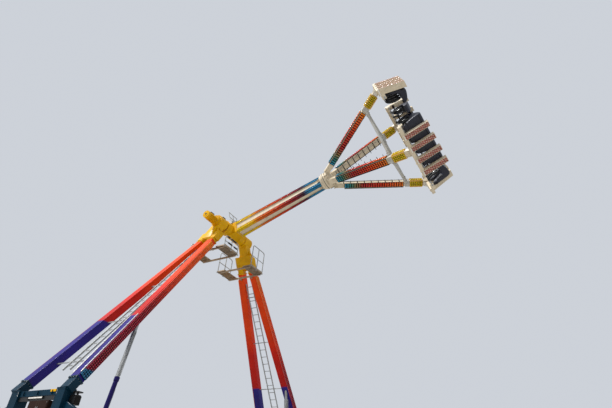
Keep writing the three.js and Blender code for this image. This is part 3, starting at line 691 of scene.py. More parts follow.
# Boxes on the near tower: x from and to, y from and to behind the beam's face, z from and to, their finish.
towerBoxes = {
    # A black plate behind the light bar: painted shade standing for the shaded underside of the top beam, not
    # a part of the tower.
    "paintedShadePlate": (-0.79, 0.79, 0.010, 0.035, 3.13, 3.248, 0),
    "lightTube": (-0.33, 0.25, -0.020, 0.012, 3.190, 3.224, 1),
    "leftHolder": (-0.352, -0.340, -0.028, 0.012, 3.175, 3.242, 0),
    "rightHolder": (0.260, 0.272, -0.028, 0.012, 3.175, 3.242, 0),
    "cabinet": (-0.26, 0.55, 0.002, 0.16, 2.66, 3.135, 5),
    "leftDoor": (-0.235, 0.145, -0.008, 0.004, 2.69, 3.105, 5),
    "rightDoor": (0.155, 0.525, -0.008, 0.004, 2.69, 3.105, 5),
    "leftHandle": (0.115, 0.129, -0.020, -0.006, 2.86, 2.98, 4),
    "rightHandle": (0.180, 0.194, -0.020, -0.006, 2.86, 2.98, 4),
    "yellowPlate": (0.50, 0.72, -0.012, 0.001, 3.335, 3.398, 3),
    "lampBracket": (1.095, 1.40, 0.150, 0.310, 3.322, 3.352, 0),
    "lampHanger": (1.28, 1.32, 0.210, 0.250, 3.24, 3.33, 0),
    "lampBody": (1.13, 1.37, 0.160, 0.320, 3.03, 3.25, 2),
    "lampFront": (1.145, 1.355, 0.146, 0.162, 3.045, 3.235, 0),
}


def buildTowerFittings(sideName):
    piece = newPiece()
    y, half, top, foot = tower["y"], tower["half"], tower["top"], Vector((0.05, 0.05, 0.011))
    for sx in (-1, 1):
        x = sx * tower["x"]
        for ox, oy in ((1, 0), (-1, 0), (0, 1), (0, -1)):
            centre = Vector((x + ox * (half + 0.03), y + oy * (half + 0.03), tower["railTop"] + 0.012))
            addBox(piece, centre - foot, centre + foot)
            addBolt(piece, centre + zAxis * 0.011, zAxis, tower["footBolt"], 1)
        reach = half + 0.008
        addBox(piece, (x - reach, y - reach, top - 0.05), (x + reach, y + reach, top + 0.006))
        for z, sy in product(tower["boltsZ"], (-1, 1)):
            addBolt(piece, (x - sx * (half - 0.03), y + sy * (half + 0.001), z), yAxis * sy,
                    tower["sideBolt"], 1)
    low, high = tower["beamLow"] + 0.02, tower["beamHigh"] - 0.02
    for sy, x in product((-1, 1), tower["ribsX"]):
        face = y + sy * (tower["beamHalf"] + 0.006)
        out = face + sy * 0.03
        addPlate(piece, [(x, face, low), (x, face, high), (x, out, high), (x, out, low)], (0.012, 0, 0))
    finishPiece(f"{sideName}_tower_fittings", piece, [blueEnamel, boltZinc], "frame",
                aFrames[sideName], 0.003)


# Control cabinet, light bar and work lamp on the near tower, and a black plate of painted shade under its top
# beam.
def buildTowerLamps():
    piece = newPiece()
    face = -tower["y"] - tower["beamHalf"]
    for x0, x1, y0, y1, z0, z1, finish in towerBoxes.values():
        addBox(piece, (x0, face + y0, z0), (x1, face + y1, z1), finish)
    for x, z in product((-0.22, 0.51), (2.71, 2.90, 3.085)):
        addBolt(piece, (x, face - 0.008, z), -yAxis, 0.009, 4)
    for i in range(5):
        x = 1.155 + i * 0.045
        addBox(piece, (x, face + 0.170, 3.245), (x + 0.010, face + 0.310, 3.275))
    finishes = [blackHousing, glassWhite, darkEnamel, yellow, boltZinc, brownEnamel]
    finishPiece("left_tower_lamps", piece, finishes, "frame", worldFrame, 0.006)


strut = {"top": Vector((0.840, 4.600, 5.640)), "foot": Vector((1.000, 5.230, 0.960)), "rodEnd": 0.33,
         "pipeSet": 0.09, "pipe": 0.013, "clamps": (0.08, 0.18, 0.28), "glands": (0.62, 0.90), "gland": 0.074,
         "pin": 0.965, "pinHalf": 0.14, "pinRadius": 0.045, "longPipe": (0.40, 0.93)}


# Glands, pin eyes and the oil pipes beside each strut's rod.
def buildStrutFittings(sideName, sx):
    piece = newPiece()

    def at(share):
        return alongMember(strut, sx, share)

    along = (at(1) - at(0)).normalized()
    side = (xAxis - along * along.x).normalized()
    other = along.cross(side) * 0.080
    for offset in (-1, 1):
        pipe = side * (offset * strut["pipeSet"])
        addPlug(piece, at(0.03) + pipe, at(strut["rodEnd"]) - along * 0.02 + pipe, strut["pipe"], 8)
        for share in strut["clamps"]:
            addBar(piece, at(share), at(share) + side * (offset * 0.10), 0.03, 0.012, along)
    for share in strut["glands"]:
        addPlug(piece, at(share) - along * 0.018, at(share) + along * 0.018, strut["gland"], 24, 1)
    pin, reach = at(strut["pin"]), side * strut["pinHalf"]
    addPlug(piece, pin - reach, pin + reach, strut["pinRadius"], 16)
    start, end = (at(share) + other for share in strut["longPipe"])
    addPlug(piece, start, end, 0.012, 8)
    finishPiece(f"{sideName}_strut_fittings", piece, [zinc, purpleEnamel], "frame",
                aFrames[sideName], 0.002)


base = {
    "padsY": (-6.9, -3.6, 3.6, 6.9), "padBolts": 0.17, "jackX": 3.4, "jackY": 5.3, "jackBolts": 0.27,
    "jackNuts": ((0.11, 0.105), (0.42, 0.10), (0.88, 0.10)), "threads": 16, "threadPitch": 0.018,
    "threadFrom": 0.15, "threadRadius": 0.080,
    # bolts on the outriggers: x, z and y from the middle
    "jointBolts": ((1.27, 1.37), (0.55, 0.75), (-0.123, 0.123)),
}


# Bolts and ribs on the base rails' pads; nuts, threads and bolts on the outriggers' jacks.
def buildBaseFittings():
    piece = newPiece()
    pad, jack = base["padBolts"], base["jackBolts"]
    for sx, y, ox in product((-1, 1), base["padsY"], (-pad, pad)):
        x = sx * tower["x"]
        for oy in (-pad, pad):
            addBolt(piece, (x + ox, y + oy, 0.04), zAxis, 0.022, 1)
        addPlate(piece, [(x + ox * 0.5, y, 0.04), (x + ox * 1.15, y, 0.04), (x + ox * 0.5, y, 0.22)],
                 (0, 0.014, 0))
    for sx, y in product((-1, 1), (-base["jackY"], base["jackY"])):
        x = sx * base["jackX"]
        for z, radius in base["jackNuts"]:
            addPlug(piece, (x, y, z - 0.02), (x, y, z + 0.02), radius, 6)
        for i in range(base["threads"]):
            z = base["threadFrom"] + i * base["threadPitch"]
            addPlug(piece, (x, y, z), (x, y, z + 0.008), base["threadRadius"], 20, 1)
        for ox, oy in product((-jack, jack), repeat=2):
            addBolt(piece, (x + ox, y + oy, 0.06), zAxis, 0.020, 1)
        for reach, z, oy in product(*base["jointBolts"]):
            addBolt(piece, (sx * reach, y + oy, z), (0, oy, 0), 0.020, 1)
    finishPiece("base_fittings", piece, [blueEnamel, boltZinc], "frame", worldFrame, 0.002)


deck = {"top": 0.912, "halfX": 3.5, "halfY": 3.3, "jointX": 1.21, "jointY": 1.1, "steps": 5, "tread": 0.28,
        "stepHalf": 0.77}


# Aluminium nosings round the boarding decks, strips over their joints, and nosings on the step treads.
def buildDeckTrim():
    piece = newPiece()
    top, halfX, halfY = deck["top"], deck["halfX"], deck["halfY"]
    for y in (-halfY, halfY):
        addBox(piece, (-halfX, y - 0.006, top - 0.055), (halfX, y + 0.006, top + 0.004))
    addBox(piece, (-halfX - 0.006, -halfY, top - 0.055), (-halfX + 0.006, halfY, top + 0.004))
    for x in (-deck["jointX"], deck["jointX"]):
        addBox(piece, (x - 0.03, -halfY, top), (x + 0.03, halfY, top + 0.006))
    for y in (-deck["jointY"], deck["jointY"]):
        addBox(piece, (-halfX, y - 0.02, top), (halfX, y + 0.02, top + 0.005))
    for i in range(1, deck["steps"]):
        z = top - i * top / deck["steps"]
        x = halfX + 0.0403 + i * deck["tread"]
        addBox(piece, (x - 0.045, -deck["stepHalf"], z), (x + 0.003, deck["stepHalf"], z + 0.006))
    finishPiece("deck_trim", piece, [boltZinc], "frame", worldFrame, 0.001)


for sideName in aFrames:
    buildTowerFittings(sideName)
    buildStrutFittings(sideName, 1 if sideName == "right" else -1)
    finishNode(f"{sideName}_ladder", zinc)
    finishNode(f"{sideName}_tower", blueEnamel, 0.006)
    finishNode(f"{sideName}_strut_rod", zinc)
    finishNode(f"{sideName}_strut_barrel", purpleEnamel, 0.006)
buildTowerLamps()
buildBaseFittings()
buildDeckTrim()
for name in ("front_base_rail", "rear_base_rail", "left_cross_beam", "centre_cross_beam", "right_cross_beam",
             "front_left_outrigger", "front_right_outrigger", "rear_left_outrigger", "rear_right_outrigger"):
    finishNode(name, blueEnamel, 0.006)
for name in ("front_deck", "rear_deck", "middle_deck", "front_steps"):
    finishNode(name, plate)
print("towers and base dressed")


# Pendulum: lamp strips on the beam's corners, bolted root and hub. w is the distance down it from the axle.

beam = {
    "root": 0.250, "tip": 0.199, "from": 0.441, "to": 4.839, "tray": 0.120, "proud": 0.012,
    "lampPitch": 0.066, "lampRadius": 0.022, "seams": (0.95, 1.85, 2.75, 3.65, 4.5),
    "drumBands": (-0.645, -0.33, 0.33, 0.645), "bandRadius": 0.312, "drumEnd": 0.662, "drumBolts": 0.245,
    "rootBolts": 0.40, "rootBoltPitch": 0.088, "rivetPitch": 0.045,
}
# The way each of the beam's four sides faces, and the way across it.
beamSides = [(normal * face, across) for face in (-1, 1)
             for normal, across in ((xAxis, yAxis), (yAxis, xAxis))]


def swingPoint(w):
    return swingFrame @ Vector((0, 0, -w))


def buildBeamLamps():
    piece = newPiece()
    line = (swingPoint(beam["from"]), swingPoint(beam["to"]))
    caps = lampCap("beamLampCap", [
        (0.0, "fce410"), (0.19, "fcd40c"), (0.25, "fc8c10"), (0.48, "fc5a10"), (0.60, "dc2c18"),
        (0.72, "b41a34"), (0.80, "5c2450"), (0.85, "28a0d0")], line)
    board = enamelledSteel("beamLampBoard", [
        (0.0, "e0c008"), (0.18, "dca808"), (0.25, "c8600a"), (0.48, "b03408"), (0.68, "600c14"),
        (0.80, "24081c"), (0.86, "185f84")], line, roughness=0.5)
    inset = beam["tray"] / 2 - beam["proud"]
    for (normal, across), edge in product(beamSides, (-1, 1)):
        ends = [normal * (half + beam["proud"]) + across * (edge * (half - inset)) - zAxis * w
                for half, w in ((beam["root"], beam["from"]), (beam["tip"], beam["to"]))]
        addLampBoard(piece, *ends, normal, beam["tray"], beam["lampPitch"], 2, beam["lampRadius"], rim=1)
    finishPiece("beam_lamps", piece, [caps, board], "pendulum", swingFrame)


# Bolts at the beam's root, rings and bands on the drum, and seams with rivets across its faces.
def buildBeamFittings():
    piece = newPiece()
    root = beam["root"] + 0.040
    for y in (-beam["drumEnd"], beam["drumEnd"]):
        addBoltRing(piece, (0, y, 0), (0, y, 0), beam["drumBolts"], 12, 0.014, 1)
    for y in beam["drumBands"]:
        addPlug(piece, (0, y - 0.014, 0), (0, y + 0.014, 0), beam["bandRadius"], 32, 2)
    for normal, across in beamSides:
        for i in range(6):
            offset = across * ((i - 2.5) * beam["rootBoltPitch"]) - zAxis * beam["rootBolts"]
            addBolt(piece, normal * (root + 0.001) + offset, normal, 0.018, 1)
        for w in beam["seams"]:
            share = (w - beam["from"]) / (beam["to"] - beam["from"])
            half = beam["root"] + (beam["tip"] - beam["root"]) * share
            place, reach = normal * (half + 0.002) - zAxis * w, across * (half - 0.115)
            addBar(piece, place - reach, place + reach, 0.004, 0.05, normal)
            for i in range(-2, 3):
                addBolt(piece, place + normal * 0.002 + across * (i * beam["rivetPitch"]), normal, 0.007, 1)
    addBox(piece, (root, -0.20, -0.42), (root + 0.11, -0.02, -0.27), 3)
    addBox(piece, (root - 0.02, 0.04, -0.43), (root + 0.07, 0.22, -0.31), 3)
    finishPiece("beam_fittings", piece, [cream, boltZinc, yellow, blackHousing], "pendulum",
                swingFrame, 0.002)


hub = {
    "beamEnd": 4.838, "flangeTop": 4.974, "bolts": 0.350, "ribs": 14, "ribTop": 4.905, "ribInner": 0.322,
    "ribOuter": 0.366, "tipRibTop": 4.66, "seal": 5.046, "sealRadius": 0.376, "slewFlange": 5.120,
    "slewBolts": 0.342, "block": 0.310, "blockEnd": 5.268,
}


# Ribs at the beam's tip, ribs and bolts round the hub's flange, and the seal of the slewing ring.
def buildHubFittings():
    piece = newPiece()
    end, flange, inner, outer = (hub[key] for key in ("beamEnd", "flangeTop", "ribInner", "ribOuter"))
    addBoltRing(piece, (0, 0, -flange), zAxis, hub["bolts"], 2 * hub["ribs"], 0.012, 1)
    for i in range(hub["ribs"]):
        turn = 2 * math.pi * i / hub["ribs"]
        out = Vector((math.cos(turn), math.sin(turn), 0))
        outline = [out * r - zAxis * w for r, w in ((inner, hub["ribTop"]), (inner, flange), (outer, flange))]
        addPlate(piece, outline, Vector((-out.y, out.x, 0)) * 0.010)
    for normal, across in beamSides:
        for offset in (-0.055, 0.055):
            outline = [normal * r + across * offset - zAxis * w
                       for r, w in ((0.200, hub["tipRibTop"]), (0.292, end), (0.197, end))]
            addPlate(piece, outline, across * 0.014)
        for offset in (-0.10, 0, 0.10):
            addBolt(piece, normal * 0.258 + across * offset - zAxis * end, zAxis, 0.013, 1)
    addPlug(piece, (0, 0, 0.018 - hub["seal"]), (0, 0, -hub["seal"]), hub["sealRadius"], 40, 2)
    finishPiece("hub_fittings", piece, [cream, boltZinc, blackRubber], "pendulum", swingFrame,
                0.002)


# Turning half of the hub: flange bolts, and a bolted cover on each face of the block.
def buildSlewingFittings(side):
    piece = newPiece()
    face, flange, low, high = hub["block"], hub["slewFlange"], hub["slewFlange"] + 0.022, hub["blockEnd"]
    for degrees in (-17, 0, 17):
        turn = math.radians(degrees)
        place = Vector((math.sin(turn), math.cos(turn), 0)) * hub["slewBolts"]
        addBolt(piece, place - zAxis * flange, -zAxis, 0.013, 1)
    addBox(piece, (-0.19, face - 0.002, -high), (0.19, face + 0.012, -low))
    for t, w in product((-0.165, -0.055, 0.055, 0.165), (low + 0.022, high - 0.022)):
        addBolt(piece, (t, face + 0.012, -w), yAxis, 0.012, 1)
    for t in (-face, face):
        addBar(piece, (t, face, -flange - 0.004), (t, face, -5.30), 0.030, 0.030)
    finishPiece(f"slewing_fittings_{side + 1}", piece, [cream, boltZinc], "gondola",
                sideFrame(side), 0.003)


buildBeamLamps()
buildBeamFittings()
buildHubFittings()
for side in range(4):
    buildSlewingFittings(side)
finishNode("axle_drum", yellow, 0.006)
finishNode("root_guard_rail", zinc)
finishNode("pendulum_beam", cream, 0.004)
finishNode("fixed_hub", cream, 0.010)
finishNode("slewing_hub", cream, 0.010)
print("pendulum dressed")


# Gondola arms: lamp boards on three faces, a conduit with clips down the fourth, yellow lamp boards below,
# and collars where the tie bars meet them. s is the distance along an arm.

arm = {
    "apex": 4.652, "spread": math.radians(28.62), "start": 0.70, "width": 0.240, "depth": 0.220,
    "proud": 0.022, "sideDepth": 0.216, "sideSet": 0.002, "outerWidth": 0.270, "lampsFrom": 1.15,
    "lampsTo": 3.70, "lampPitch": 0.102, "lampRadius": 0.034, "yellowFrom": 3.97, "yellowTo": 4.51,
    "yellowPitch": 0.080, "yellowRadius": 0.027, "tieAt": 3.854, "collarHalf": 0.085, "clips": 9,
    "clipsFrom": 1.12, "clipPitch": 0.3, "conduit": (0.95, 3.74), "collar": (0.282, 0.262),
    # the end plate's edge on the head beam: y and w
    "plateEdge": ((2.195, 8.762), (2.437, 8.762)),
    # on the tie bar from its middle line on the arm: start, end and radius
    "tieSleeves": ((0.19, 0.30, 0.074), (0.30, 0.325, 0.084), (0.40, 0.42, 0.064)),
}
armAlong = Vector((0, math.sin(arm["spread"]), -math.cos(arm["spread"])))
armOut = Vector((0, math.cos(arm["spread"]), math.sin(arm["spread"])))
yellowCaps = lampCap("yellowLampCap", "ecd014")
yellowBoard = enamelledSteel("yellowLampBoard", "6e5c08", roughness=0.5)


def armPoint(s, t=0.0, out=0.0):
    return Vector((t, 0, -arm["apex"])) + armAlong * s + armOut * out


def buildArmLamps(side):
    piece = newPiece()
    place = sideFrame(side)
    start, end = arm["lampsFrom"], arm["lampsTo"]
    line = (place @ armPoint(start), place @ armPoint(end))
    caps = lampCap(f"armLampCap{side + 1}", [
        (0.0, "2a98c0"), (0.12, "34907c"), (0.2, "a08850"), (0.32, "c82a2c"), (0.62, "f04414"),
        (0.86, "fc701a"), (1.0, "fc9018")], line)
    board = enamelledSteel(f"armLampBoard{side + 1}", [
        (0.0, "041820"), (0.3, "0c0405"), (0.55, "180402"), (1.0, "341004")], line, roughness=0.6)
    outer, inward = arm["depth"] / 2 + arm["proud"] - 0.001, arm["width"] / 2 + arm["proud"]
    for t, out, normal, width in ((0, outer, armOut, arm["outerWidth"]),
                                  (-inward, arm["sideSet"], -xAxis, arm["sideDepth"]),
                                  (inward, arm["sideSet"], xAxis, arm["sideDepth"])):
        addLampBoard(piece, armPoint(start, t, out), armPoint(end, t, out), normal, width, arm["lampPitch"],
                     3, arm["lampRadius"], rim=1)
    finishPiece(f"arm_{side + 1}_lamps", piece, [caps, board], "gondola", place)


def buildArmYellow(side):
    piece = newPiece()
    width, depth = arm["width"] + 2 * arm["proud"], arm["depth"] + 2 * arm["proud"]
    faces = ((armOut, depth / 2, width), (xAxis, width / 2, depth))
    for sign, (normal, half, wide) in product((-1, 1), faces):
        start, end = (armPoint(arm[key]) + normal * (sign * half) for key in ("yellowFrom", "yellowTo"))
        addLampBoard(piece, start, end, normal * sign, wide - 0.03, arm["yellowPitch"], 3,
                     arm["yellowRadius"])
    finishPiece(f"arm_{side + 1}_yellow_lamps", piece, [yellowCaps, yellowBoard, yellow], "gondola",
                sideFrame(side))


# Tie bar collar, conduit with its clips, and the plates and bolts at the arm's two ends.
def buildArmFittings(side):
    piece = newPiece()
    inner, tie, collar = -arm["depth"] / 2, arm["tieAt"], arm["collarHalf"]
    addBar(piece, armPoint(tie - collar), armPoint(tie + collar), *arm["collar"], xAxis, 1)
    for end, t, sign in product((-1, 1), (-0.125, 0.125), (-1, 1)):
        addBolt(piece, armPoint(tie + end * collar * 0.6, t, sign * 0.132), armOut * sign, 0.014, 2)
    start, end = (armPoint(s, 0.05, inner - 0.012) for s in arm["conduit"])
    addPlug(piece, start, end, 0.012, 8, 1)
    for i in range(arm["clips"]):
        s = arm["clipsFrom"] + i * arm["clipPitch"]
        for reach, drop, deep, wide in ((-0.118, 0.008, 0.014, 0.034), (-0.25, 0.016, 0.016, 0.020)):
            addBar(piece, armPoint(s, reach, inner - drop), armPoint(s, 0.118, inner - drop), deep, wide,
                   armOut, 4)
    for t in (-0.131, 0.131):
        outline = [(t, y, -w) for y, w in arm["plateEdge"]]
        outline += [armPoint(4.54, t, out) for out in (0.11, -0.11)]
        addPlate(piece, outline, (0.014, 0, 0), 3)
        for s, out in ((4.58, 0.07), (4.58, -0.05), (4.65, 0.08)):
            addBolt(piece, armPoint(s, t * 1.05, out), (t, 0, 0), 0.013, 2)
        for out in (-0.115, -0.04, 0.03, 0.095):
            addBolt(piece, armPoint(arm["start"] + 0.040, t * 1.035, out), armAlong, 0.013, 2)
        for out in (-0.075, 0.062):
            addPlate(piece, [armPoint(0.738, t * 0.91, out), armPoint(0.738, t * 1.12, out),
                             armPoint(1.02, t * 0.91, out)], armOut * 0.014)
    finishPiece(f"arm_{side + 1}_fittings", piece, [cream, paleGrey, boltZinc, white, darkEnamel], "gondola",
                sideFrame(side), 0.002)


# End sleeves on a tie bar, with their clamp rings.
def buildTieEnds(side):
    piece = newPiece()
    here = armPoint(arm["tieAt"])
    there = Vector((here.y, 0, here.z))
    along = (there - here).normalized()
    for start, end, radius in arm["tieSleeves"]:
        addPlug(piece, here + along * start, here + along * end, radius, 20)
        addPlug(piece, there - along * start, there - along * end, radius, 20)
    finishPiece(f"tie_bar_{side + 1}_ends", piece, [paleGrey], "gondola", sideFrame(side),
                0.003)


for side in range(4):
    buildArmLamps(side)
    buildArmYellow(side)
    buildArmFittings(side)
    buildTieEnds(side)
    finishNode(f"arm_{side + 1}", cream, 0.006)
    finishNode(f"tie_bar_{side + 1}", paleGrey)
print("arms dressed")


# Seat rows: lit columns on a head beam, moulded seats between them, and padded shoulder restraints.
# r is the distance from the gondola's axis, w the distance down from the axle.

row = {
    "top": 8.765, "from": -1.072, "to": 1.040, "restraintR": 2.060, "restraintW": 8.930, "ribs": 6,
    "capW": (8.775, 8.892), "capBoltsW": (8.795, 8.872), "bearing": 0.046,
}
column = {
    "first": -0.620, "pitch": 0.521, "width": 0.197, "depth": 0.240, "topW": 8.912, "endW": 9.852,
    "topR": 2.441, "endR": 2.233, "lampsW": 8.850, "lampPitch": 0.046, "lampRadius": 0.0205,
}
columnSlope = (column["topR"] - column["endR"]) / (column["endW"] - column["topW"])
glassRed = lampCap("redLampCap", "b02818")
glassCream = lampCap("creamLampCap", "e8c8b4")
redBoard = enamelledSteel("redLampBoard", "4a160e", roughness=0.5)


def columnInner(w):
    return column["topR"] - column["depth"] - columnSlope * (w - column["topW"])


def buildColumns(side):
    piece = newPiece()
    start, end = Vector((0, column["topR"], -column["topW"])), Vector((0, column["endR"], -column["endW"]))
    along = (end - start).normalized()
    out = xAxis.cross(along)
    first = start - along * ((column["topW"] - column["lampsW"]) / abs(along.z))
    half = column["width"] / 2 + 0.003
    for i in range(4):
        centre = xAxis * (column["first"] + i * column["pitch"])
        foot = end + centre
        addLampBoard(piece, first + centre, foot - along * 0.004, out, column["width"], column["lampPitch"],
                     4, column["lampRadius"], (0, 1), 4)
        addPlate(piece, [start + centre, first + centre + out * 0.004,
                         first + centre - yAxis * (first.y - start.y)], xAxis * column["width"], 2)
        addBox(piece, (centre.x - half, columnInner(column["topW"]) - 0.004, first.z - 0.004),
               (centre.x + half, first.y + 0.022, first.z + 0.030), 3)
        addBox(piece, foot + Vector((-half, -column["depth"] - 0.003, -0.004)),
               foot + Vector((half, 0.012, 0.022)), 2)
    finishPiece(f"row_{side + 1}_column_lamps", piece, [glassRed, glassCream, cream, white, redBoard],
                "gondola", sideFrame(side))


# Ribs, end caps and bolts on the head beam, and bearing caps on the cheeks.
def buildRowFittings(side):
    piece = newPiece()
    outer, inner, top = column["topR"], column["topR"] - column["depth"] - 0.010, row["top"]
    for t in np.linspace(row["from"] + 0.18, row["to"] - 0.18, row["ribs"]):
        if abs(t) > 0.2:
            addPlate(piece, [(t, inner + 0.03, -top), (t, outer - 0.03, -top),
                             (t, outer - 0.09, -top + 0.028), (t, inner + 0.09, -top + 0.028)], (0.012, 0, 0))
    capTop, capEnd = row["capW"]
    for t, sign in ((row["from"], -1), (row["to"], 1)):
        addBox(piece, (t - 0.004, inner + 0.012, -capEnd), (t + 0.004, outer - 0.012, -capTop))
        for r, w in product((inner + 0.05, outer - 0.05), row["capBoltsW"]):
            addBolt(piece, (t + sign * 0.004, r, -w), xAxis * sign, 0.013, 1)
        bearing = Vector((t, row["restraintR"], -row["restraintW"]))
        addPlug(piece, bearing, bearing + xAxis * (sign * 0.012), row["bearing"], 20, 1)
    finishPiece(f"row_{side + 1}_fittings", piece, [cream, boltZinc], "gondola",
                sideFrame(side), 0.002)


# The inside of a seat from its top down: r, w, half width, how far its edges curl up. Then its outside.
seat = {
    "first": -0.880,
    "front": [(2.100, 8.960, 0.062, 0.00), (2.086, 9.002, 0.092, 0.01), (2.060, 9.100, 0.132, 0.03),
              (2.020, 9.260, 0.172, 0.05), (1.972, 9.430, 0.200, 0.06), (1.930, 9.520, 0.208, 0.06),
              (1.840, 9.555, 0.210, 0.06), (1.680, 9.545, 0.205, 0.05), (1.535, 9.520, 0.200, 0.03),
              (1.475, 9.535, 0.190, 0.01), (1.462, 9.580, 0.180, 0.00)],
    "back": [(2.140, 8.960), (2.172, 9.002), (2.155, 9.100), (2.118, 9.260), (2.078, 9.430), (2.048, 9.600),
             (2.000, 9.760), (1.850, 9.785), (1.625, 9.710), (1.500, 9.655), (1.470, 9.600)],
    "shares": (-1, -0.86, -0.55, 0, 0.55, 0.86, 1),
    # from and to along the front's points, half width and height
    "pads": {"head": (0.7, 2.2, 0.080, 0.030), "back": (2.5, 4.6, 0.128, 0.034),
             "seat": (5.9, 8.1, 0.150, 0.034)},
    "padShares": (-1, -0.93, -0.7, -0.35, 0, 0.35, 0.7, 0.93, 1),
    "padRings": 9, "barsW": (9.12, 9.64), "bar": 0.06, "boltsT": (-0.11, 0.11),
}


# A place on the inside of a seat, and the way that side faces there, both as r and w.
def seatSurface(q):
    stations = seat["front"]
    i = min(int(q), len(stations) - 2)
    here, after = Vector(stations[i][:2]), Vector(stations[i + 1][:2])
    along = (after - here).normalized()
    return here.lerp(after, q - i), Vector((-along.y, along.x))


def addSeatShell(piece, centre):
    stations = seat["front"]
    rings = []
    for i, (r, w, half, curl) in enumerate(stations):
        before, after = stations[max(i - 1, 0)], stations[min(i + 1, len(stations) - 1)]
        along = Vector((after[0] - before[0], after[1] - before[1])).normalized()
        lifts = [curl * abs(share) ** 2.5 for share in seat["shares"]]
        front = [(centre + half * share, r - along.y * lift, -(w + along.x * lift))
                 for share, lift in zip(seat["shares"], lifts)]
        backR, backW = seat["back"][i]
        rings.append(front + [(centre + half * share * 0.96, backR, -backW)
                              for share in reversed(seat["shares"])])
    addLoft(piece, rings)


# A crowned pad on the seat's surface, welted round its edge and drawn in by a seam down its middle.
def addSeatPad(piece, centre, start, end, half, height):
    rings = []
    for share in np.linspace(0, 1, seat["padRings"]):
        place, towards = seatSurface(start + (end - start) * share)
        fromMiddle = abs(2 * share - 1)
        swell = height * (1 - fromMiddle ** 6) ** 0.5
        width = half * (0.9 + 0.1 * (1 - fromMiddle ** 4))
        lifts = [(across, 0.004 + swell * (1 - abs(across) ** 5) * (0.74 if across == 0 else 1))
                 for across in seat["padShares"]]
        lifts += [(0.6, -0.01), (-0.6, -0.01)]
        rings.append([(centre + width * across, place.x + towards.x * lift, -(place.y + towards.y * lift))
                      for across, lift in lifts])
    addLoft(piece, rings)


def buildSeats(side):
    shells, pads, bars = newPiece(), newPiece(), newPiece()
    for i in range(4):
        centre = seat["first"] + i * column["pitch"]
        addSeatShell(shells, centre)
        for start, end, half, height in seat["pads"].values():
            addSeatPad(pads, centre, start, end, half, height)
        for w, t in product(seat["barsW"], seat["boltsT"]):
            addBolt(bars, (centre + t, columnInner(w) - 0.066, -w), -yAxis, 0.014, 1)
    for w in seat["barsW"]:
        outer = columnInner(w + 0.03) - 0.002
        addBar(bars, (seat["first"] - 0.15, outer - 0.03, -w), (row["to"] - 0.02, outer - 0.03, -w),
               seat["bar"], seat["bar"], yAxis)
        for i in range(4):
            centre = column["first"] + i * column["pitch"]
            addBox(bars, (centre - 0.06, outer - 0.066, -w - 0.045),
                   (centre + 0.06, outer - 0.001, -w + 0.045))
    place = sideFrame(side)
    finishPiece(f"row_{side + 1}_seat_shells", shells, [shellCoat], "gondola", place,
                subdivide=2, stands=[f"seat_row_{side + 1}"], smooth=60)
    finishPiece(f"row_{side + 1}_seat_bars", bars, [darkEnamel, boltZinc], "gondola", place,
                0.004)
    cushions = finishPiece(f"row_{side + 1}_seat_pads", pads, [vinyl], "gondola", place,
                           subdivide=1, smooth=80)


restraint = {
    "half": 0.115, "steel": 0.019, "pad": 0.046, "shaft": 0.025, "cuffHalf": 0.028, "cuff": 0.038,
    "side": [(2.060, 8.930), (1.935, 8.885), (1.800, 8.920), (1.715, 9.080), (1.690, 9.300)],
    "bottom": (0.063, 1.690, 9.420),
    "handle": [(1.68, 9.16), (1.605, 9.18), (1.600, 9.30), (1.68, 9.33)], "handleRadius": 0.011,
}


# How thick the pad is along its length: full at its bends, drawn in at both ends and in the middle.
def padSwell(count):
    swell = []
    for j in range(count):
        share = j / (count - 1)
        seam = 0.16 if abs(2 * share - 1) < 0.12 else 0
        swell.append(restraint["pad"] * (0.80 + 0.26 * math.sin(math.pi * share) ** 0.6 - seam))
    return swell


def buildRestraints(side):
    steel, pads = newPiece(), newPiece()
    r, w, half = row["restraintR"], row["restraintW"], restraint["half"]
    addPlug(steel, (row["from"] + 0.002, r, -w), (row["to"] - 0.002, r, -w), restraint["shaft"], 16)
    for i in range(4):
        centre = seat["first"] + i * column["pitch"]
        for t in (centre - half, centre + half):
            shoulder = smoothPath([(t, sr, -sw) for sr, sw in restraint["side"][:3]])
            addTube(steel, shoulder, restraint["steel"], 10)
            cuff = xAxis * restraint["cuffHalf"]
            addPlug(steel, Vector((t, r, -w)) - cuff, Vector((t, r, -w)) + cuff, restraint["cuff"], 16)
        bottomHalf, bottomR, bottomW = restraint["bottom"]
        outline = [(centre - half, sr, -sw) for sr, sw in restraint["side"][1:]]
        outline += [(centre + t, bottomR, -bottomW) for t in (-bottomHalf, bottomHalf)]
        outline += [(centre + half, sr, -sw) for sr, sw in reversed(restraint["side"][1:])]
        path = smoothPath(outline, 5)[2:-2]
        addTube(pads, path, padSwell(len(path)), 10)
        for sign in (-1, 1):
            handle = [(centre + sign * half * 1.02, hr, -hw) for hr, hw in restraint["handle"]]
            addTube(steel, roundedPath(handle, 0.03, 3), restraint["handleRadius"], 8)
    place, body = sideFrame(side), f"restraints_{side + 1}_body"
    finishPiece(f"restraints_{side + 1}_steel", steel, [boltZinc], body, place, 0.002)
    padded = finishPiece(f"restraints_{side + 1}_pads", pads, [blackRubber], body, place,
                         subdivide=1, stands=[f"restraints_{side + 1}"], smooth=80)


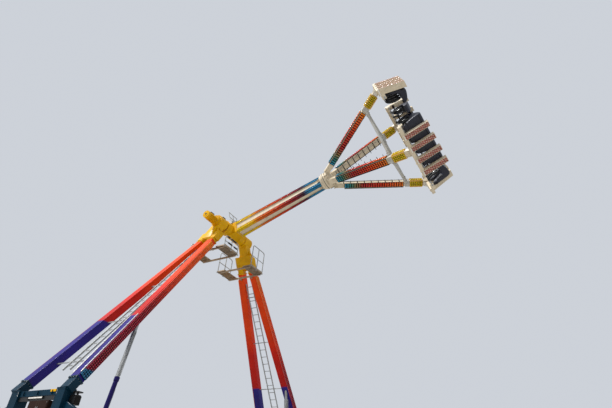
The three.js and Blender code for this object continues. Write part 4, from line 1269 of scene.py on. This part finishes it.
for side in range(4):
    buildColumns(side)
    buildRowFittings(side)
    buildSeats(side)
    buildRestraints(side)
    finishNode(f"row_frame_{side + 1}", cream, 0.006)
print("seat rows built")


# Camera, at the photograph's place, and the studio

camera = {"place": (12.66, -14.37, 0.95), "yaw": 31.483, "pitch": 34.324, "roll": 4.781, "lens": 27.5}


def placeCamera():
    yaw, pitch, roll = (math.radians(camera[key]) for key in ("yaw", "pitch", "roll"))
    data = bpy.data.cameras.new("viewpoint")
    data.lens = camera["lens"]
    data.sensor_width = 36
    data.clip_end = 400
    obj = addObject("viewpoint", data)
    tilt = Matrix.Rotation(math.pi / 2 + pitch, 4, "X") @ Matrix.Rotation(roll, 4, "Z")
    obj.matrix_world = Matrix.Translation(camera["place"]) @ Matrix.Rotation(yaw, 4, "Z") @ tilt
    bpy.context.scene.camera = obj


studio = {"sunFrom": (-0.36, -0.42, 0.84), "sunPower": 4.2, "sunSoftness": 10, "skyColour": "dbe0e8",
          "skyPower": 0.86, "floorColours": ("a6a49f", "aeaca7"), "floorHalf": 60}


def lightStudio():
    data = bpy.data.lights.new("softSun", "SUN")
    data.energy = studio["sunPower"]
    data.angle = math.radians(studio["sunSoftness"])
    sun = addObject("softSun", data)
    sun.rotation_mode = "QUATERNION"
    sun.rotation_quaternion = Vector(studio["sunFrom"]).to_track_quat("Z", "Y")
    world = bpy.data.worlds.new("paleRoom")
    world.use_nodes = True
    setInputs(world.node_tree, world.node_tree.nodes["Background"],
              {"Color": studio["skyColour"], "Strength": studio["skyPower"]})
    bpy.context.scene.world = world
    bpy.context.scene.view_settings.view_transform = "Standard"


# Matt screed in two close greys, clouded over 2.5 m.
def layFloor():
    half = studio["floorHalf"]
    dark, light = studio["floorColours"]
    piece = newPiece()
    addShape(piece, [(-half, -half, 0), (half, -half, 0), (half, half, 0), (-half, half, 0)], [(0, 1, 2, 3)])
    material, tree, coords = startMaterial("paleFloor")
    finishMaterial(material, {"Base Color": mottle(tree, coords, 2500, [(0.3, dark), (0.7, light)]),
                              "Roughness": 0.9})
    makeObject("floor", piece, [material], worldFrame)


placeCamera()
lightStudio()
layFloor()
print("studio ready")
